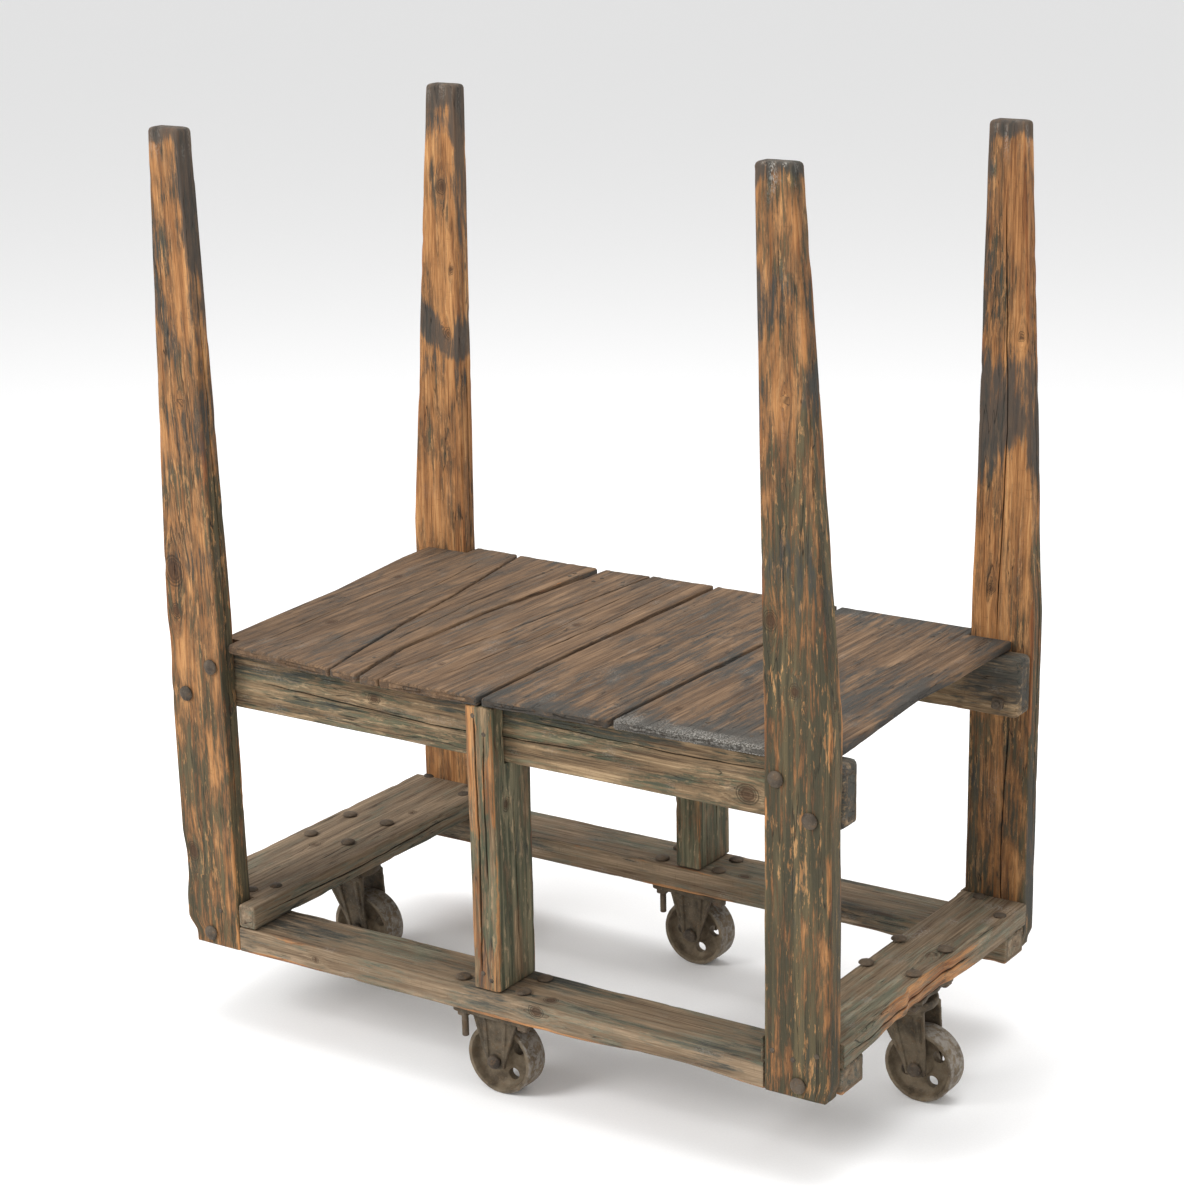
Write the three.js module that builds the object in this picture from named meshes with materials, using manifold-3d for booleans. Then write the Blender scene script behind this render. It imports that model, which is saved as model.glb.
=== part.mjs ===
// Four-post timber mine cart: plank deck on two top rails, wheeled base frame
// with two rigid casters at mid length and two swivel casters at the ends.
// Millimetres, +Z up. X runs along the cart, Y across it. The origin is on the
// floor, under the middle of the cart's outline.
import * as THREE from 'three';
import { mergeVertices } from 'three/addons/utils/BufferGeometryUtils.js';
import Module from 'manifold-3d';

// ---------------------------------------------------------------- dimensions
const gap = 0.3;                  // running and resting clearance between pieces

// Timber frame
const postSpan = 1040;            // outer face to outer face of the posts, along X
const postDepthSpan = 590;        // front face to back face of the posts, along Y
const leftOverhang = 17;          // left end beam beyond the posts' outer faces
const rightOverhang = 4;          // right end beam beyond the posts' outer faces
const postWidth = 94;             // along X
const postDepth = 31;             // along Y
const postBottom = 124;
const postTops = { front_left: 1264, front_right: 1273, back_left: 1268, back_right: 1262 };
const taperStart = 612;           // height where the posts' outer edges start to lean in
const postTaper = 42;             // width lost on the outer edge at the top
const postLean = 8;               // outward lean of the top across the cart
const postTopDepth = 28;
const postChamfer = 9;

const bottomRailWidth = 90;
const bottomRailHeight = 38;
const beamHeight = 35;
const leftBeamInner = 125;        // inner edge, measured from the left posts' outer face
const rightBeamInner = 100;       // inner edge, measured from the right posts' outer face
const topRailThickness = 40;
const topRailBottom = 476;
const topRailTop = 559;
const deckTop = 574;
const strutFromLeft = 501;        // left face of the mid struts, from the left posts' outer face
const strutWidth = 43;
const strutDepth = 87;
const fitClearance = 1.2;         // planks and beams notched round the posts

// Deck planks: seams as [x at the front, x at the back] from the left posts' outer face
const seams = [[80, 22], [331, 321], [527, 522], [721, 727], [1018, 1012]];
const seamGap = 5;
const plankFronts = [[12, -8], [-8, -6], [-4, 4], [6, 12]];   // from the posts' front plane
const plankBacks = [[2, 0], [3, 2], [0, 3], [2, -2]];         // beyond the posts' back plane

// Bolts
const boltRadius = 4.8;
const boltHoleRadius = 5.5;
const boltHeadRadius = 10.8;
const boltHeadHeight = 5;
const nutWidth = 16;
const nutHeight = 8;
const boltSides = 8;
const innerBoltFromOuter = 76;    // upper bolt of the diagonal pair
const outerBoltFromOuter = 29;    // lower bolt of the pair
const innerBoltHeight = 541;
const outerBoltHeight = 496;
const footBoltFromOuter = 44;
const footBoltHeight = 143;

// Casters
const wheelRadius = 50.8;
const wheelWidth = 38;
const rimThickness = 7.5;
const webThickness = 10;
const hubRadius = 15;
const hubWidth = 41;
const axleRadius = 6;
const boreClearance = 0.4;
const webHoleRadius = 8.6;
const webHoleCircle = 28;
const webHoles = 4;
const wheelSides = 28;
const legInner = 21.5;            // half the space between a fork's legs
const legThickness = 6.5;
const legEndRadius = 14;
const plateThickness = 7;
const rigidPlateLength = 126;
const rigidPlateWidth = 78;
const rigidBoltSpacing = [98, 50];
const rigidLegTop = 76;
const rigidFromLeft = 518;        // rigid casters, from the left posts' outer face
const rigidFromFace = 46;         // their middle, from the posts' front or back plane
const swivelPlateLength = 102;
const swivelPlateWidth = 116;
const swivelBoltSpacing = [70, 92];
const swivelFromLeft = [46, 984]; // swivel axes, from the left posts' outer face
const swivelY = 15;
const swivelTrail = 30;
const raceRadius = 42;
const raceHeight = 10;
const crownRadius = 45;
const crownHeight = 13;
const kingpinRadius = 8;
const kingpinHeadRadius = 13;

// ------------------------------------------------------------ derived places
const rightmost = swivelFromLeft[1] + swivelTrail + wheelRadius;
const xLeft = (leftOverhang - rightmost) / 2;
const xRight = xLeft + postSpan;
const yFront = -postDepthSpan / 2;
const yBack = postDepthSpan / 2;
const bottomRailTop = postBottom + bottomRailHeight;
const beamBottom = bottomRailTop + gap;
const beamTop = bottomRailTop + beamHeight;
const legOuter = legInner + legThickness;

// ----------------------------------------------------------------- materials
const material = (color, roughness, metalness) =>
  new THREE.MeshStandardMaterial({ color, roughness, metalness });
const postWood = material('#8f6334', 0.8, 0);
const deckWood = material('#6b5137', 0.85, 0);
const frameWood = material('#565134', 0.85, 0);
const castIron = material('#5c5144', 0.7, 0.6);
const treadIron = material('#6a6258', 0.6, 0.7);
const boltIron = material('#4c443d', 0.65, 0.7);

// -------------------------------------------------------------- solid making
const wasm = await Module();
wasm.setup();

// A closed three.js geometry as a solid, with its faces pointing out.
function solid(geometry) {
  const bare = geometry.clone();
  bare.deleteAttribute('normal');
  bare.deleteAttribute('uv');
  const merged = mergeVertices(bare, 1e-4);
  const position = merged.attributes.position;
  const triangles = [];
  const corners = [new THREE.Vector3(), new THREE.Vector3(), new THREE.Vector3()];
  let volume = 0;
  for (let i = 0; i < merged.index.count; i += 3) {
    const ids = [0, 1, 2].map((k) => merged.index.getX(i + k));
    if (new Set(ids).size < 3) continue;
    ids.forEach((id, k) => corners[k].fromBufferAttribute(position, id));
    volume += corners[0].dot(corners[1].clone().cross(corners[2]));
    triangles.push(ids);
  }
  if (volume < 0) triangles.forEach((ids) => ids.reverse());
  return new wasm.Manifold(new wasm.Mesh({
    numProp: 3,
    vertProperties: new Float32Array(position.array),
    triVerts: new Uint32Array(triangles.flat()),
  }));
}

const join = (...pieces) => pieces.reduce((whole, piece) => whole.add(piece));
const cut = (body, ...tools) => tools.reduce((rest, tool) => rest.subtract(tool), body);

function block(x0, x1, y0, y1, z0, z1) {
  const geometry = new THREE.BoxGeometry(x1 - x0, y1 - y0, z1 - z0);
  return solid(geometry.translate((x0 + x1) / 2, (y0 + y1) / 2, (z0 + z1) / 2));
}

function extruded(outline, depth) {
  const shape = outline instanceof THREE.Shape
    ? outline
    : new THREE.Shape(outline.map(([a, b]) => new THREE.Vector2(a, b)));
  return new THREE.ExtrudeGeometry(shape, { depth, bevelEnabled: false, curveSegments: 5 });
}

// An outline in (x, y) raised from z0 to z1.
const prismZ = (outline, z0, z1) => solid(extruded(outline, z1 - z0).translate(0, 0, z0));

// An outline in (x, z) carried from y0 to y1.
const prismY = (outline, y0, y1) =>
  solid(extruded(outline, y1 - y0).rotateX(Math.PI / 2).translate(0, y1, 0));

// An outline in (y, z) carried from x0 to x1.
const prismX = (outline, x0, x1) =>
  solid(extruded(outline, x1 - x0)
    .applyMatrix4(new THREE.Matrix4().set(0, 0, 1, 0, 1, 0, 0, 0, 0, 1, 0, 0, 0, 0, 0, 1))
    .translate(x0, 0, 0));

// A round bar from one point to another.
function bar(radius, start, end, sides = boltSides) {
  const along = new THREE.Vector3().subVectors(end, start);
  const geometry = new THREE.CylinderGeometry(radius, radius, along.length(), sides);
  const turn = new THREE.Quaternion().setFromUnitVectors(
    new THREE.Vector3(0, 1, 0), along.clone().normalize());
  geometry.applyQuaternion(turn);
  const middle = new THREE.Vector3().addVectors(start, end).multiplyScalar(0.5);
  return solid(geometry.translate(middle.x, middle.y, middle.z));
}

const at = (x, y, z) => new THREE.Vector3(x, y, z);

// ------------------------------------------------------------------ assembly
const cart = new THREE.Group();

function place(name, body, finish, parent = cart) {
  const mesh = body.getMesh();
  const geometry = new THREE.BufferGeometry();
  geometry.setAttribute('position', new THREE.BufferAttribute(mesh.vertProperties.slice(), 3));
  geometry.setIndex(new THREE.BufferAttribute(mesh.triVerts.slice(), 1));
  geometry.computeVertexNormals();
  const piece = new THREE.Mesh(geometry, finish);
  piece.name = name;
  parent.add(piece);
}

// A carriage bolt with its square nut: domed head outside, nut on the far face.
// head is the point where the head meets the wood, outward the way it faces.
function carriageBolt(head, outward, grip, tail) {
  const dome = [];
  const domeSteps = 2;
  for (let i = 0; i <= domeSteps; i += 1) {
    const angle = (i / domeSteps) * (Math.PI / 2);
    dome.push(new THREE.Vector2(boltHeadRadius * Math.cos(angle),
      gap + 1 + (boltHeadHeight - 1) * Math.sin(angle)));
  }
  dome[domeSteps].x = 0;
  const profile = [new THREE.Vector2(0, gap), new THREE.Vector2(boltHeadRadius, gap), ...dome];
  const headPiece = solid(new THREE.LatheGeometry(profile, boltSides));
  const end = -(grip + gap + nutHeight + tail);
  const shank = bar(boltRadius, at(0, end, 0), at(0, gap + 2, 0));
  const half = nutWidth / 2;
  const nut = block(-half, half, -(grip + gap + nutHeight), -(grip + gap), -half, half);
  const turn = new THREE.Quaternion().setFromUnitVectors(at(0, 1, 0), outward);
  const matrix = new THREE.Matrix4().compose(head, turn, at(1, 1, 1));
  return join(headPiece, shank, nut).transform(matrix.elements);
}

// ------------------------------------------------------- bolt places by piece
const corners = [];
for (const [end, ySide] of [['front', -1], ['back', 1]]) {
  for (const [side, xSide] of [['left', -1], ['right', 1]]) {
    corners.push({
      name: `${end}_${side}`,
      xSide,
      ySide,
      outerX: xSide < 0 ? xLeft : xRight,
      outerY: ySide < 0 ? yFront : yBack,
    });
  }
}

const cornerBolts = (corner) => [
  { x: corner.outerX - corner.xSide * innerBoltFromOuter, z: innerBoltHeight },
  { x: corner.outerX - corner.xSide * outerBoltFromOuter, z: outerBoltHeight },
  { x: corner.outerX - corner.xSide * footBoltFromOuter, z: footBoltHeight },
];

const holesAcross = (ySide) => corners
  .filter((corner) => corner.ySide === ySide)
  .flatMap((corner) => cornerBolts(corner).map(({ x, z }) =>
    bar(boltHoleRadius, at(x, corner.outerY + ySide * 20, z), at(x, corner.outerY - ySide * 130, z))));

const gridOf = ([dx, dy]) => [-1, 1].flatMap((i) => [-1, 1].map((j) => [i * dx / 2, j * dy / 2]));

const rigids = [['front', -1], ['back', 1]].map(([name, ySide]) => ({
  name,
  ySide,
  x: xLeft + rigidFromLeft,
  y: (ySide < 0 ? yFront : yBack) - ySide * rigidFromFace,
}));
const swivels = ['left', 'right'].map((name, i) => ({ name, x: xLeft + swivelFromLeft[i], y: swivelY }));

const holesDown = (place3, spacing) => gridOf(spacing).map(([dx, dy]) =>
  bar(boltHoleRadius, at(place3.x + dx, place3.y + dy, 60), at(place3.x + dx, place3.y + dy, 260)));

// ------------------------------------------------------------------- timbers
function postSolid(corner) {
  const { xSide, ySide, outerX, outerY } = corner;
  const top = postTops[corner.name];
  const innerX = outerX - xSide * postWidth;
  const topOuterX = outerX - xSide * postTaper;
  const wide = prismY([
    [outerX - xSide * 6, postBottom],
    [innerX + xSide * 4, postBottom],
    [innerX, postBottom + 4],
    [innerX, top - postChamfer],
    [innerX + xSide * postChamfer, top],
    [topOuterX - xSide * postChamfer, top],
    [topOuterX, top - postChamfer],
    [outerX, taperStart],
    [outerX, postBottom + 8],
  ], -400, 400);
  const innerY = outerY - ySide * postDepth;
  const topOuterY = outerY + ySide * postLean;
  const topInnerY = topOuterY - ySide * postTopDepth;
  const deep = prismX([
    [outerY, postBottom],
    [innerY, postBottom],
    [innerY, taperStart],
    [topInnerY, top - 4],
    [topInnerY + ySide * 4, top],
    [topOuterY - ySide * 4, top],
    [topOuterY, top - 4],
    [outerY, taperStart],
  ], -700, 700);
  return wide.intersect(deep);
}

const postRooms = corners.map(({ outerX, outerY, xSide, ySide }) => {
  const xs = [outerX + xSide * 60, outerX - xSide * (postWidth + fitClearance)].sort((a, b) => a - b);
  const ys = [outerY + ySide * 60, outerY - ySide * (postDepth + fitClearance)].sort((a, b) => a - b);
  return block(xs[0], xs[1], ys[0], ys[1], 0, 700);
});

for (const corner of corners) {
  place(`post_${corner.name}`, cut(postSolid(corner), ...holesAcross(corner.ySide)), postWood);
}

for (const [name, ySide] of [['front', -1], ['back', 1]]) {
  const face = ySide < 0 ? yFront : yBack;
  const holes = holesAcross(ySide);
  const railYs = [face - ySide * (postDepth + gap), face - ySide * (postDepth + topRailThickness)];
  railYs.sort((a, b) => a - b);
  place(`top_rail_${name}`,
    cut(block(xLeft, xRight, railYs[0], railYs[1], topRailBottom, topRailTop), ...holes), frameWood);

  const rigid = rigids.find((one) => one.ySide === ySide);
  const bottomYs = [face, face - ySide * bottomRailWidth].sort((a, b) => a - b);
  place(`bottom_rail_${name}`,
    cut(block(xLeft, xRight, bottomYs[0], bottomYs[1], postBottom, bottomRailTop),
      ...postRooms, ...holes, ...holesDown(rigid, rigidBoltSpacing)), frameWood);

  // The mid strut stands on the bottom rail; its outer tongue laps the top rail.
  const strutLeft = xLeft + strutFromLeft;
  const lapY = face - ySide * (postDepth - gap);
  const backY = face - ySide * strutDepth;
  const outline = [
    [face, bottomRailTop + gap],
    [backY, bottomRailTop + gap],
    [backY, topRailBottom - gap],
    [lapY, topRailBottom - gap],
    [lapY, topRailTop - gap],
    [face, topRailTop - gap],
  ];
  const heads = gridOf(rigidBoltSpacing).map(([dx, dy]) => bar(boltHeadRadius + 1.5,
    at(rigid.x + dx, rigid.y + dy, bottomRailTop - 1), at(rigid.x + dx, rigid.y + dy, bottomRailTop + 8)));
  place(`strut_${name}`, cut(prismX(outline, strutLeft, strutLeft + strutWidth), ...heads), frameWood);
}

const beamOutlines = {
  left: [xLeft - leftOverhang, xLeft + leftBeamInner],
  right: [xRight - rightBeamInner, xRight + rightOverhang],
};
swivels.forEach((swivel) => {
  const [x0, x1] = beamOutlines[swivel.name];
  const outer = swivel.name === 'left' ? [x0, xLeft] : [xRight, x1];
  const innerFaces = postDepthSpan / 2 - postDepth - fitClearance;
  const slivers = [-1, 1].map((side) => {
    const ys = [side * innerFaces, side * 400].sort((a, b) => a - b);
    return block(outer[0] - 1, outer[1] + 1, ys[0], ys[1], 0, 400);
  });
  const beam = block(x0, x1, yFront, yBack, beamBottom, beamTop);
  place(`end_beam_${swivel.name}`,
    cut(beam, ...postRooms, ...slivers, ...holesDown(swivel, swivelBoltSpacing)), frameWood);
});

for (let i = 0; i < 4; i += 1) {
  const leftGap = i === 0 ? 0 : seamGap / 2;
  const rightGap = i === 3 ? 0 : seamGap / 2;
  const outline = [
    [xLeft + seams[i][0] + leftGap, yFront + plankFronts[i][0]],
    [xLeft + seams[i + 1][0] - rightGap, yFront + plankFronts[i][1]],
    [xLeft + seams[i + 1][1] - rightGap, yBack + plankBacks[i][1]],
    [xLeft + seams[i][1] + leftGap, yBack + plankBacks[i][0]],
  ];
  place(`deck_plank_${i + 1}`, cut(prismZ(outline, topRailTop + gap, deckTop), ...postRooms), deckWood);
}

// --------------------------------------------------------------- frame bolts
const boltKinds = ['upper', 'lower', 'foot'];
for (const corner of corners) {
  cornerBolts(corner).forEach(({ x, z }, i) => {
    const grip = boltKinds[i] === 'foot' ? bottomRailWidth : postDepth + topRailThickness;
    const bolt = carriageBolt(at(x, corner.outerY, z), at(0, corner.ySide, 0), grip, 5);
    place(`bolt_${corner.name}_${boltKinds[i]}`, bolt, boltIron);
  });
}

// ------------------------------------------------------------------- casters
function wheelSolid(x, y) {
  const half = wheelWidth / 2;
  const web = webThickness / 2;
  const inner = wheelRadius - rimThickness;
  const bore = axleRadius + boreClearance;
  const profile = [
    [bore, -hubWidth / 2], [hubRadius, -hubWidth / 2], [hubRadius + 2, -web], [inner - 2, -web],
    [inner, -half], [wheelRadius - 1.5, -half], [wheelRadius, -half + 1.5],
    [wheelRadius, half - 1.5], [wheelRadius - 1.5, half], [inner, half],
    [inner - 2, web], [hubRadius + 2, web], [hubRadius, hubWidth / 2], [bore, hubWidth / 2],
    [bore, -hubWidth / 2],
  ].map(([r, h]) => new THREE.Vector2(r, h));
  const wheel = solid(new THREE.LatheGeometry(profile, wheelSides));
  const holes = Array.from({ length: webHoles }, (_, i) => {
    const angle = ((i + 0.35) / webHoles) * 2 * Math.PI;
    const [hx, hz] = [webHoleCircle * Math.cos(angle), webHoleCircle * Math.sin(angle)];
    return bar(webHoleRadius, at(hx, -half, hz), at(hx, half, hz), 10);
  });
  return cut(wheel, ...holes).translate(x, y, wheelRadius);
}

function axleSolid(x, y) {
  const head = bar(10, at(0, -legOuter - 7, 0), at(0, -legOuter - gap, 0), 12);
  const shank = bar(axleRadius, at(0, -legOuter - 3, 0), at(0, legOuter + 11, 0), 12);
  const nut = block(-9, 9, legOuter + gap, legOuter + 8, -9, 9);
  return join(head, shank, nut).translate(x, y, wheelRadius);
}

// One leg's outline: a wide top narrowing to a round end about the axle.
function legOutline(topLeft, topRight, topZ, axleX) {
  const shape = new THREE.Shape();
  shape.moveTo(topLeft, topZ);
  shape.lineTo(axleX - legEndRadius, wheelRadius + 6);
  shape.absarc(axleX, wheelRadius, legEndRadius, Math.PI, 2 * Math.PI, false);
  shape.lineTo(axleX + legEndRadius, wheelRadius + 6);
  shape.lineTo(topRight, topZ);
  shape.closePath();
  return shape;
}

const axleHole = (axleX) => bar(axleRadius + boreClearance,
  at(axleX, -legOuter - 5, wheelRadius), at(axleX, legOuter + 5, wheelRadius), 12);

for (const rigid of rigids) {
  const plateTop = postBottom - gap;
  const plate = block(-rigidPlateLength / 2, rigidPlateLength / 2, -rigidPlateWidth / 2,
    rigidPlateWidth / 2, plateTop - plateThickness, plateTop);
  const legs = [-1, 1].map((side) => {
    const ys = [side * legInner, side * legOuter].sort((a, b) => a - b);
    return prismY(legOutline(-rigidLegTop / 2, rigidLegTop / 2, plateTop - plateThickness + 1, 0), ...ys);
  });
  const drilled = gridOf(rigidBoltSpacing).map(([dx, dy]) =>
    bar(boltHoleRadius, at(dx, dy, 100), at(dx, dy, 140)));
  const horn = cut(join(plate, ...legs), axleHole(0), ...drilled);
  place(`${rigid.name}_caster_horn`, horn.translate(rigid.x, rigid.y, 0), castIron);
  place(`${rigid.name}_wheel`, wheelSolid(rigid.x, rigid.y), treadIron);
  place(`${rigid.name}_axle`, axleSolid(rigid.x, rigid.y), boltIron);
  gridOf(rigidBoltSpacing).forEach(([dx, dy], i) => {
    const tail = i === 0 ? 32 : 4;
    const grip = bottomRailHeight + plateThickness + gap;
    const bolt = carriageBolt(at(rigid.x + dx, rigid.y + dy, bottomRailTop), at(0, 0, 1), grip, tail);
    place(`${rigid.name}_caster_bolt_${i + 1}`, bolt, boltIron);
  });
}

for (const swivel of swivels) {
  const plateTop = beamBottom - gap;
  const plateBottom = plateTop - plateThickness;
  const raceBottom = plateBottom - raceHeight;
  const crownTop = raceBottom - gap;
  const crownBottom = crownTop - crownHeight;
  const halfLength = swivelPlateLength / 2;
  const halfWidth = swivelPlateWidth / 2;
  const bore = (radius, z0, z1) => bar(radius, at(0, 0, z0), at(0, 0, z1), 14);
  const pinRoom = kingpinRadius + boreClearance;

  const drilled = gridOf(swivelBoltSpacing).map(([dx, dy]) =>
    bar(boltHoleRadius, at(dx, dy, 100), at(dx, dy, 200)));
  const race = solid(new THREE.CylinderGeometry(raceRadius, raceRadius - 6, raceHeight + 1, 24)
    .rotateX(Math.PI / 2).translate(0, 0, plateBottom + 1 - (raceHeight + 1) / 2));
  const sheet = block(-halfLength, halfLength, -halfWidth, halfWidth, plateBottom, plateTop);
  const plate = cut(join(sheet, race), ...drilled, bore(pinRoom, 100, 200),
    bore(kingpinHeadRadius + 0.6, plateTop - 4, 200));
  place(`${swivel.name}_swivel_plate`, plate.translate(swivel.x, swivel.y, 0), castIron);

  const pin = join(bore(kingpinRadius, crownBottom - 6, plateTop - 1),
    bore(kingpinHeadRadius, plateTop - 3.6, plateTop - gap),
    bore(kingpinHeadRadius, crownBottom - 8, crownBottom - gap));
  place(`${swivel.name}_kingpin`, pin.translate(swivel.x, swivel.y, 0), boltIron);

  const crown = bore(crownRadius, crownBottom, crownTop);
  const legs = [-1, 1].map((side) => {
    const ys = [side * legInner, side * legOuter].sort((a, b) => a - b);
    return prismY(legOutline(-36, 40, crownBottom + 1, swivelTrail), ...ys);
  });
  const fork = cut(join(crown, ...legs), axleHole(swivelTrail), bore(pinRoom, 100, 200));
  place(`${swivel.name}_swivel_fork`, fork.translate(swivel.x, swivel.y, 0), castIron);
  place(`${swivel.name}_wheel`, wheelSolid(swivel.x + swivelTrail, swivel.y), treadIron);
  place(`${swivel.name}_axle`, axleSolid(swivel.x + swivelTrail, swivel.y), boltIron);
  gridOf(swivelBoltSpacing).forEach(([dx, dy], i) => {
    const grip = beamHeight + plateThickness;
    const bolt = carriageBolt(at(swivel.x + dx, swivel.y + dy, beamTop), at(0, 0, 1), grip, 4);
    place(`${swivel.name}_caster_bolt_${i + 1}`, bolt, boltIron);
  });
}

export default cart;
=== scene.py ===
"""Looks of the timber mine cart: worn timbers, iron fittings and casters, built
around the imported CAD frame. Shapes are worked out in millimetres and stored in
metres; every place comes from the frame's own boxes."""
import math

import bmesh
import bpy
import numpy as np
from mathutils import Matrix, Vector


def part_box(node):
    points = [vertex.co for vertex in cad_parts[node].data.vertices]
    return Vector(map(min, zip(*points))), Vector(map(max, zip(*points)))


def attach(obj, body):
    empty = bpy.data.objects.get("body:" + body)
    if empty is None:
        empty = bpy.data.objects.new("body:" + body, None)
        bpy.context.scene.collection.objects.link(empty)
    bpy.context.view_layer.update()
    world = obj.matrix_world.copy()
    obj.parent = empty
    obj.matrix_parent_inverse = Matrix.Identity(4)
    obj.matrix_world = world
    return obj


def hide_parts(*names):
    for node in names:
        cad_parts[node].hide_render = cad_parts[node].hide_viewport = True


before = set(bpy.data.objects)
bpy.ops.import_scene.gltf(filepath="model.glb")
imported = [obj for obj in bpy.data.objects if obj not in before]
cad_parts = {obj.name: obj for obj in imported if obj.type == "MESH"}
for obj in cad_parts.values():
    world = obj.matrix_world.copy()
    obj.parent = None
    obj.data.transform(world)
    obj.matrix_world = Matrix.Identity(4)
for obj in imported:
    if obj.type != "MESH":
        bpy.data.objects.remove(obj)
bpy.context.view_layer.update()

MM = 0.001
FRONT, BACK = -1, 1
AXIS = {"x": 0, "y": 1, "z": 2}


def link(made):
    bpy.context.scene.collection.objects.link(made)
    return made


# ------------------------------------------------------------------- camera
def make_camera():
    """The photograph's viewpoint: position and aim in metres, in the CAD frame."""
    position = Vector((1.9799, -2.9523, 1.6561))
    forward = Vector((-0.49835, 0.80748, -0.31564)).normalized()
    roll = math.radians(-0.52)
    image_width, image_height = 1184, 1200
    focal_pixels = 2725.6
    optical_centre = (703.9, 705.3)
    level_right = forward.cross(Vector((0, 0, 1))).normalized()
    level_up = level_right.cross(forward)
    right = level_right * math.cos(roll) + level_up * math.sin(roll)
    up = level_up * math.cos(roll) - level_right * math.sin(roll)
    data = bpy.data.cameras.new("camera")
    data.sensor_fit = "HORIZONTAL"
    data.sensor_width = 36.0
    data.lens = data.sensor_width * focal_pixels / image_width
    data.shift_x = (image_width / 2 - optical_centre[0]) / image_width
    data.shift_y = (optical_centre[1] - image_height / 2) / image_width
    data.clip_end = 50
    camera = link(bpy.data.objects.new("camera", data))
    camera.matrix_world = Matrix.Translation(position) @ Matrix((
        (right.x, up.x, -forward.x, 0),
        (right.y, up.y, -forward.y, 0),
        (right.z, up.z, -forward.z, 0),
        (0, 0, 0, 1)))
    bpy.context.scene.camera = camera


make_camera()


# -------------------------------------------------------------- seeded noise
def lattice(ix, iy, iz, seed):
    """A value from 0 to 1 for each whole-number place."""
    with np.errstate(over="ignore"):
        h = ix.astype(np.uint32) * np.uint32(73856093)
        h ^= iy.astype(np.uint32) * np.uint32(19349663)
        h ^= (iz.astype(np.uint32) * np.uint32(83492791)) ^ np.uint32((seed * 2654435761) % 2**32)
        h = (h ^ (h >> np.uint32(13))) * np.uint32(1274126177)
        h ^= h >> np.uint32(16)
    return h.astype(np.float64) / 2**32


def noise(x, y, z, seed):
    """Smooth noise from -1 to 1, one feature per unit."""
    x, y, z = np.broadcast_arrays(x, y, z)
    x, y, z = (np.asarray(a, float) + 1000.0 for a in (x, y, z))
    ix, iy, iz = (np.floor(a).astype(np.int64) for a in (x, y, z))
    fx, fy, fz = (a - np.floor(a) for a in (x, y, z))
    fx, fy, fz = (f * f * (3 - 2 * f) for f in (fx, fy, fz))
    total = 0
    for dx in (0, 1):
        for dy in (0, 1):
            for dz in (0, 1):
                weight = (fx if dx else 1 - fx) * (fy if dy else 1 - fy) * (fz if dz else 1 - fz)
                total = total + weight * lattice(ix + dx, iy + dy, iz + dz, seed)
    return total * 2 - 1


def smooth(x, low, high):
    t = np.clip((np.asarray(x, float) - low) / (high - low), 0, 1)
    return t * t * (3 - 2 * t)


# ------------------------------------------------------------- shader helpers
class Value:
    """One output of a node tree; arithmetic on it adds Math nodes."""

    def __init__(self, shader, socket):
        self.shader = shader
        self.socket = socket

    def __add__(self, other):
        return self.shader.math("ADD", self, other)

    def __sub__(self, other):
        return self.shader.math("SUBTRACT", self, other)

    def __mul__(self, other):
        return self.shader.math("MULTIPLY", self, other)


class Shader:
    """A material's node tree, with calls that add and link nodes."""

    def __init__(self, name):
        self.material = bpy.data.materials.new(name)
        self.material.use_nodes = True
        self.tree = self.material.node_tree
        self.surface = self.tree.nodes["Principled BSDF"]

    def add(self, kind, inputs=(), **settings):
        made = self.tree.nodes.new(kind)
        for key, value in settings.items():
            setattr(made, key, value)
        for key, value in dict(inputs).items():
            self.set(made.inputs[key], value)
        return made

    def set(self, socket, value):
        if isinstance(value, Value):
            self.tree.links.new(value.socket, socket)
        else:
            socket.default_value = value

    def output(self, kind, output, inputs=(), **settings):
        return Value(self, self.add(kind, inputs, **settings).outputs[output])

    def attribute(self, name, output="Fac"):
        return self.output("ShaderNodeAttribute", output, attribute_name=name)

    def place(self):
        return self.output("ShaderNodeTexCoord", "Object")

    def math(self, operation, a, b=0.0):
        return self.output("ShaderNodeMath", 0, {0: a, 1: b}, operation=operation)

    def noise(self, vector, scale, detail=4.0, rough=0.55, distortion=0.0):
        return self.output("ShaderNodeTexNoise", "Fac", {
            "Vector": vector, "Scale": scale, "Detail": detail, "Roughness": rough,
            "Distortion": distortion})

    def stretch(self, vector, scale, location=(0, 0, 0)):
        return self.output("ShaderNodeMapping", 0, {
            "Vector": vector, "Scale": scale, "Location": location})

    def ramp(self, value, *stops):
        node = self.add("ShaderNodeValToRGB", {"Fac": value})
        elements = node.color_ramp.elements
        while len(elements) < len(stops):
            elements.new(0.5)
        for element, (place, color) in zip(elements, stops):
            element.position = place
            element.color = (*color, 1)
        return Value(self, node.outputs["Color"])

    def band(self, value, low, high):
        """0 below low, 1 above high, smooth between; low may be above high."""
        return self.output("ShaderNodeMapRange", 0, {
            "Value": value, "From Min": low, "From Max": high},
            interpolation_type="SMOOTHSTEP")

    def mix(self, factor, a, b):
        colors = [item if isinstance(item, Value) else (*item, 1) for item in (a, b)]
        return self.output("ShaderNodeMix", 2, {
            "Factor": factor, 6: colors[0], 7: colors[1]}, data_type="RGBA")

    def finish(self, color, roughness, height, strength, distance, metallic=0.0):
        bump = self.output("ShaderNodeBump", 0, {
            "Height": height, "Strength": strength, "Distance": distance})
        for key, value in (("Base Color", color), ("Roughness", roughness),
                           ("Metallic", metallic), ("Normal", bump),
                           ("Specular IOR Level", 0.3)):
            self.set(self.surface.inputs[key], value)
        return self.material


RING_SCALE = 0.314       # wave texture scale that puts growth rings one metre apart


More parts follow.
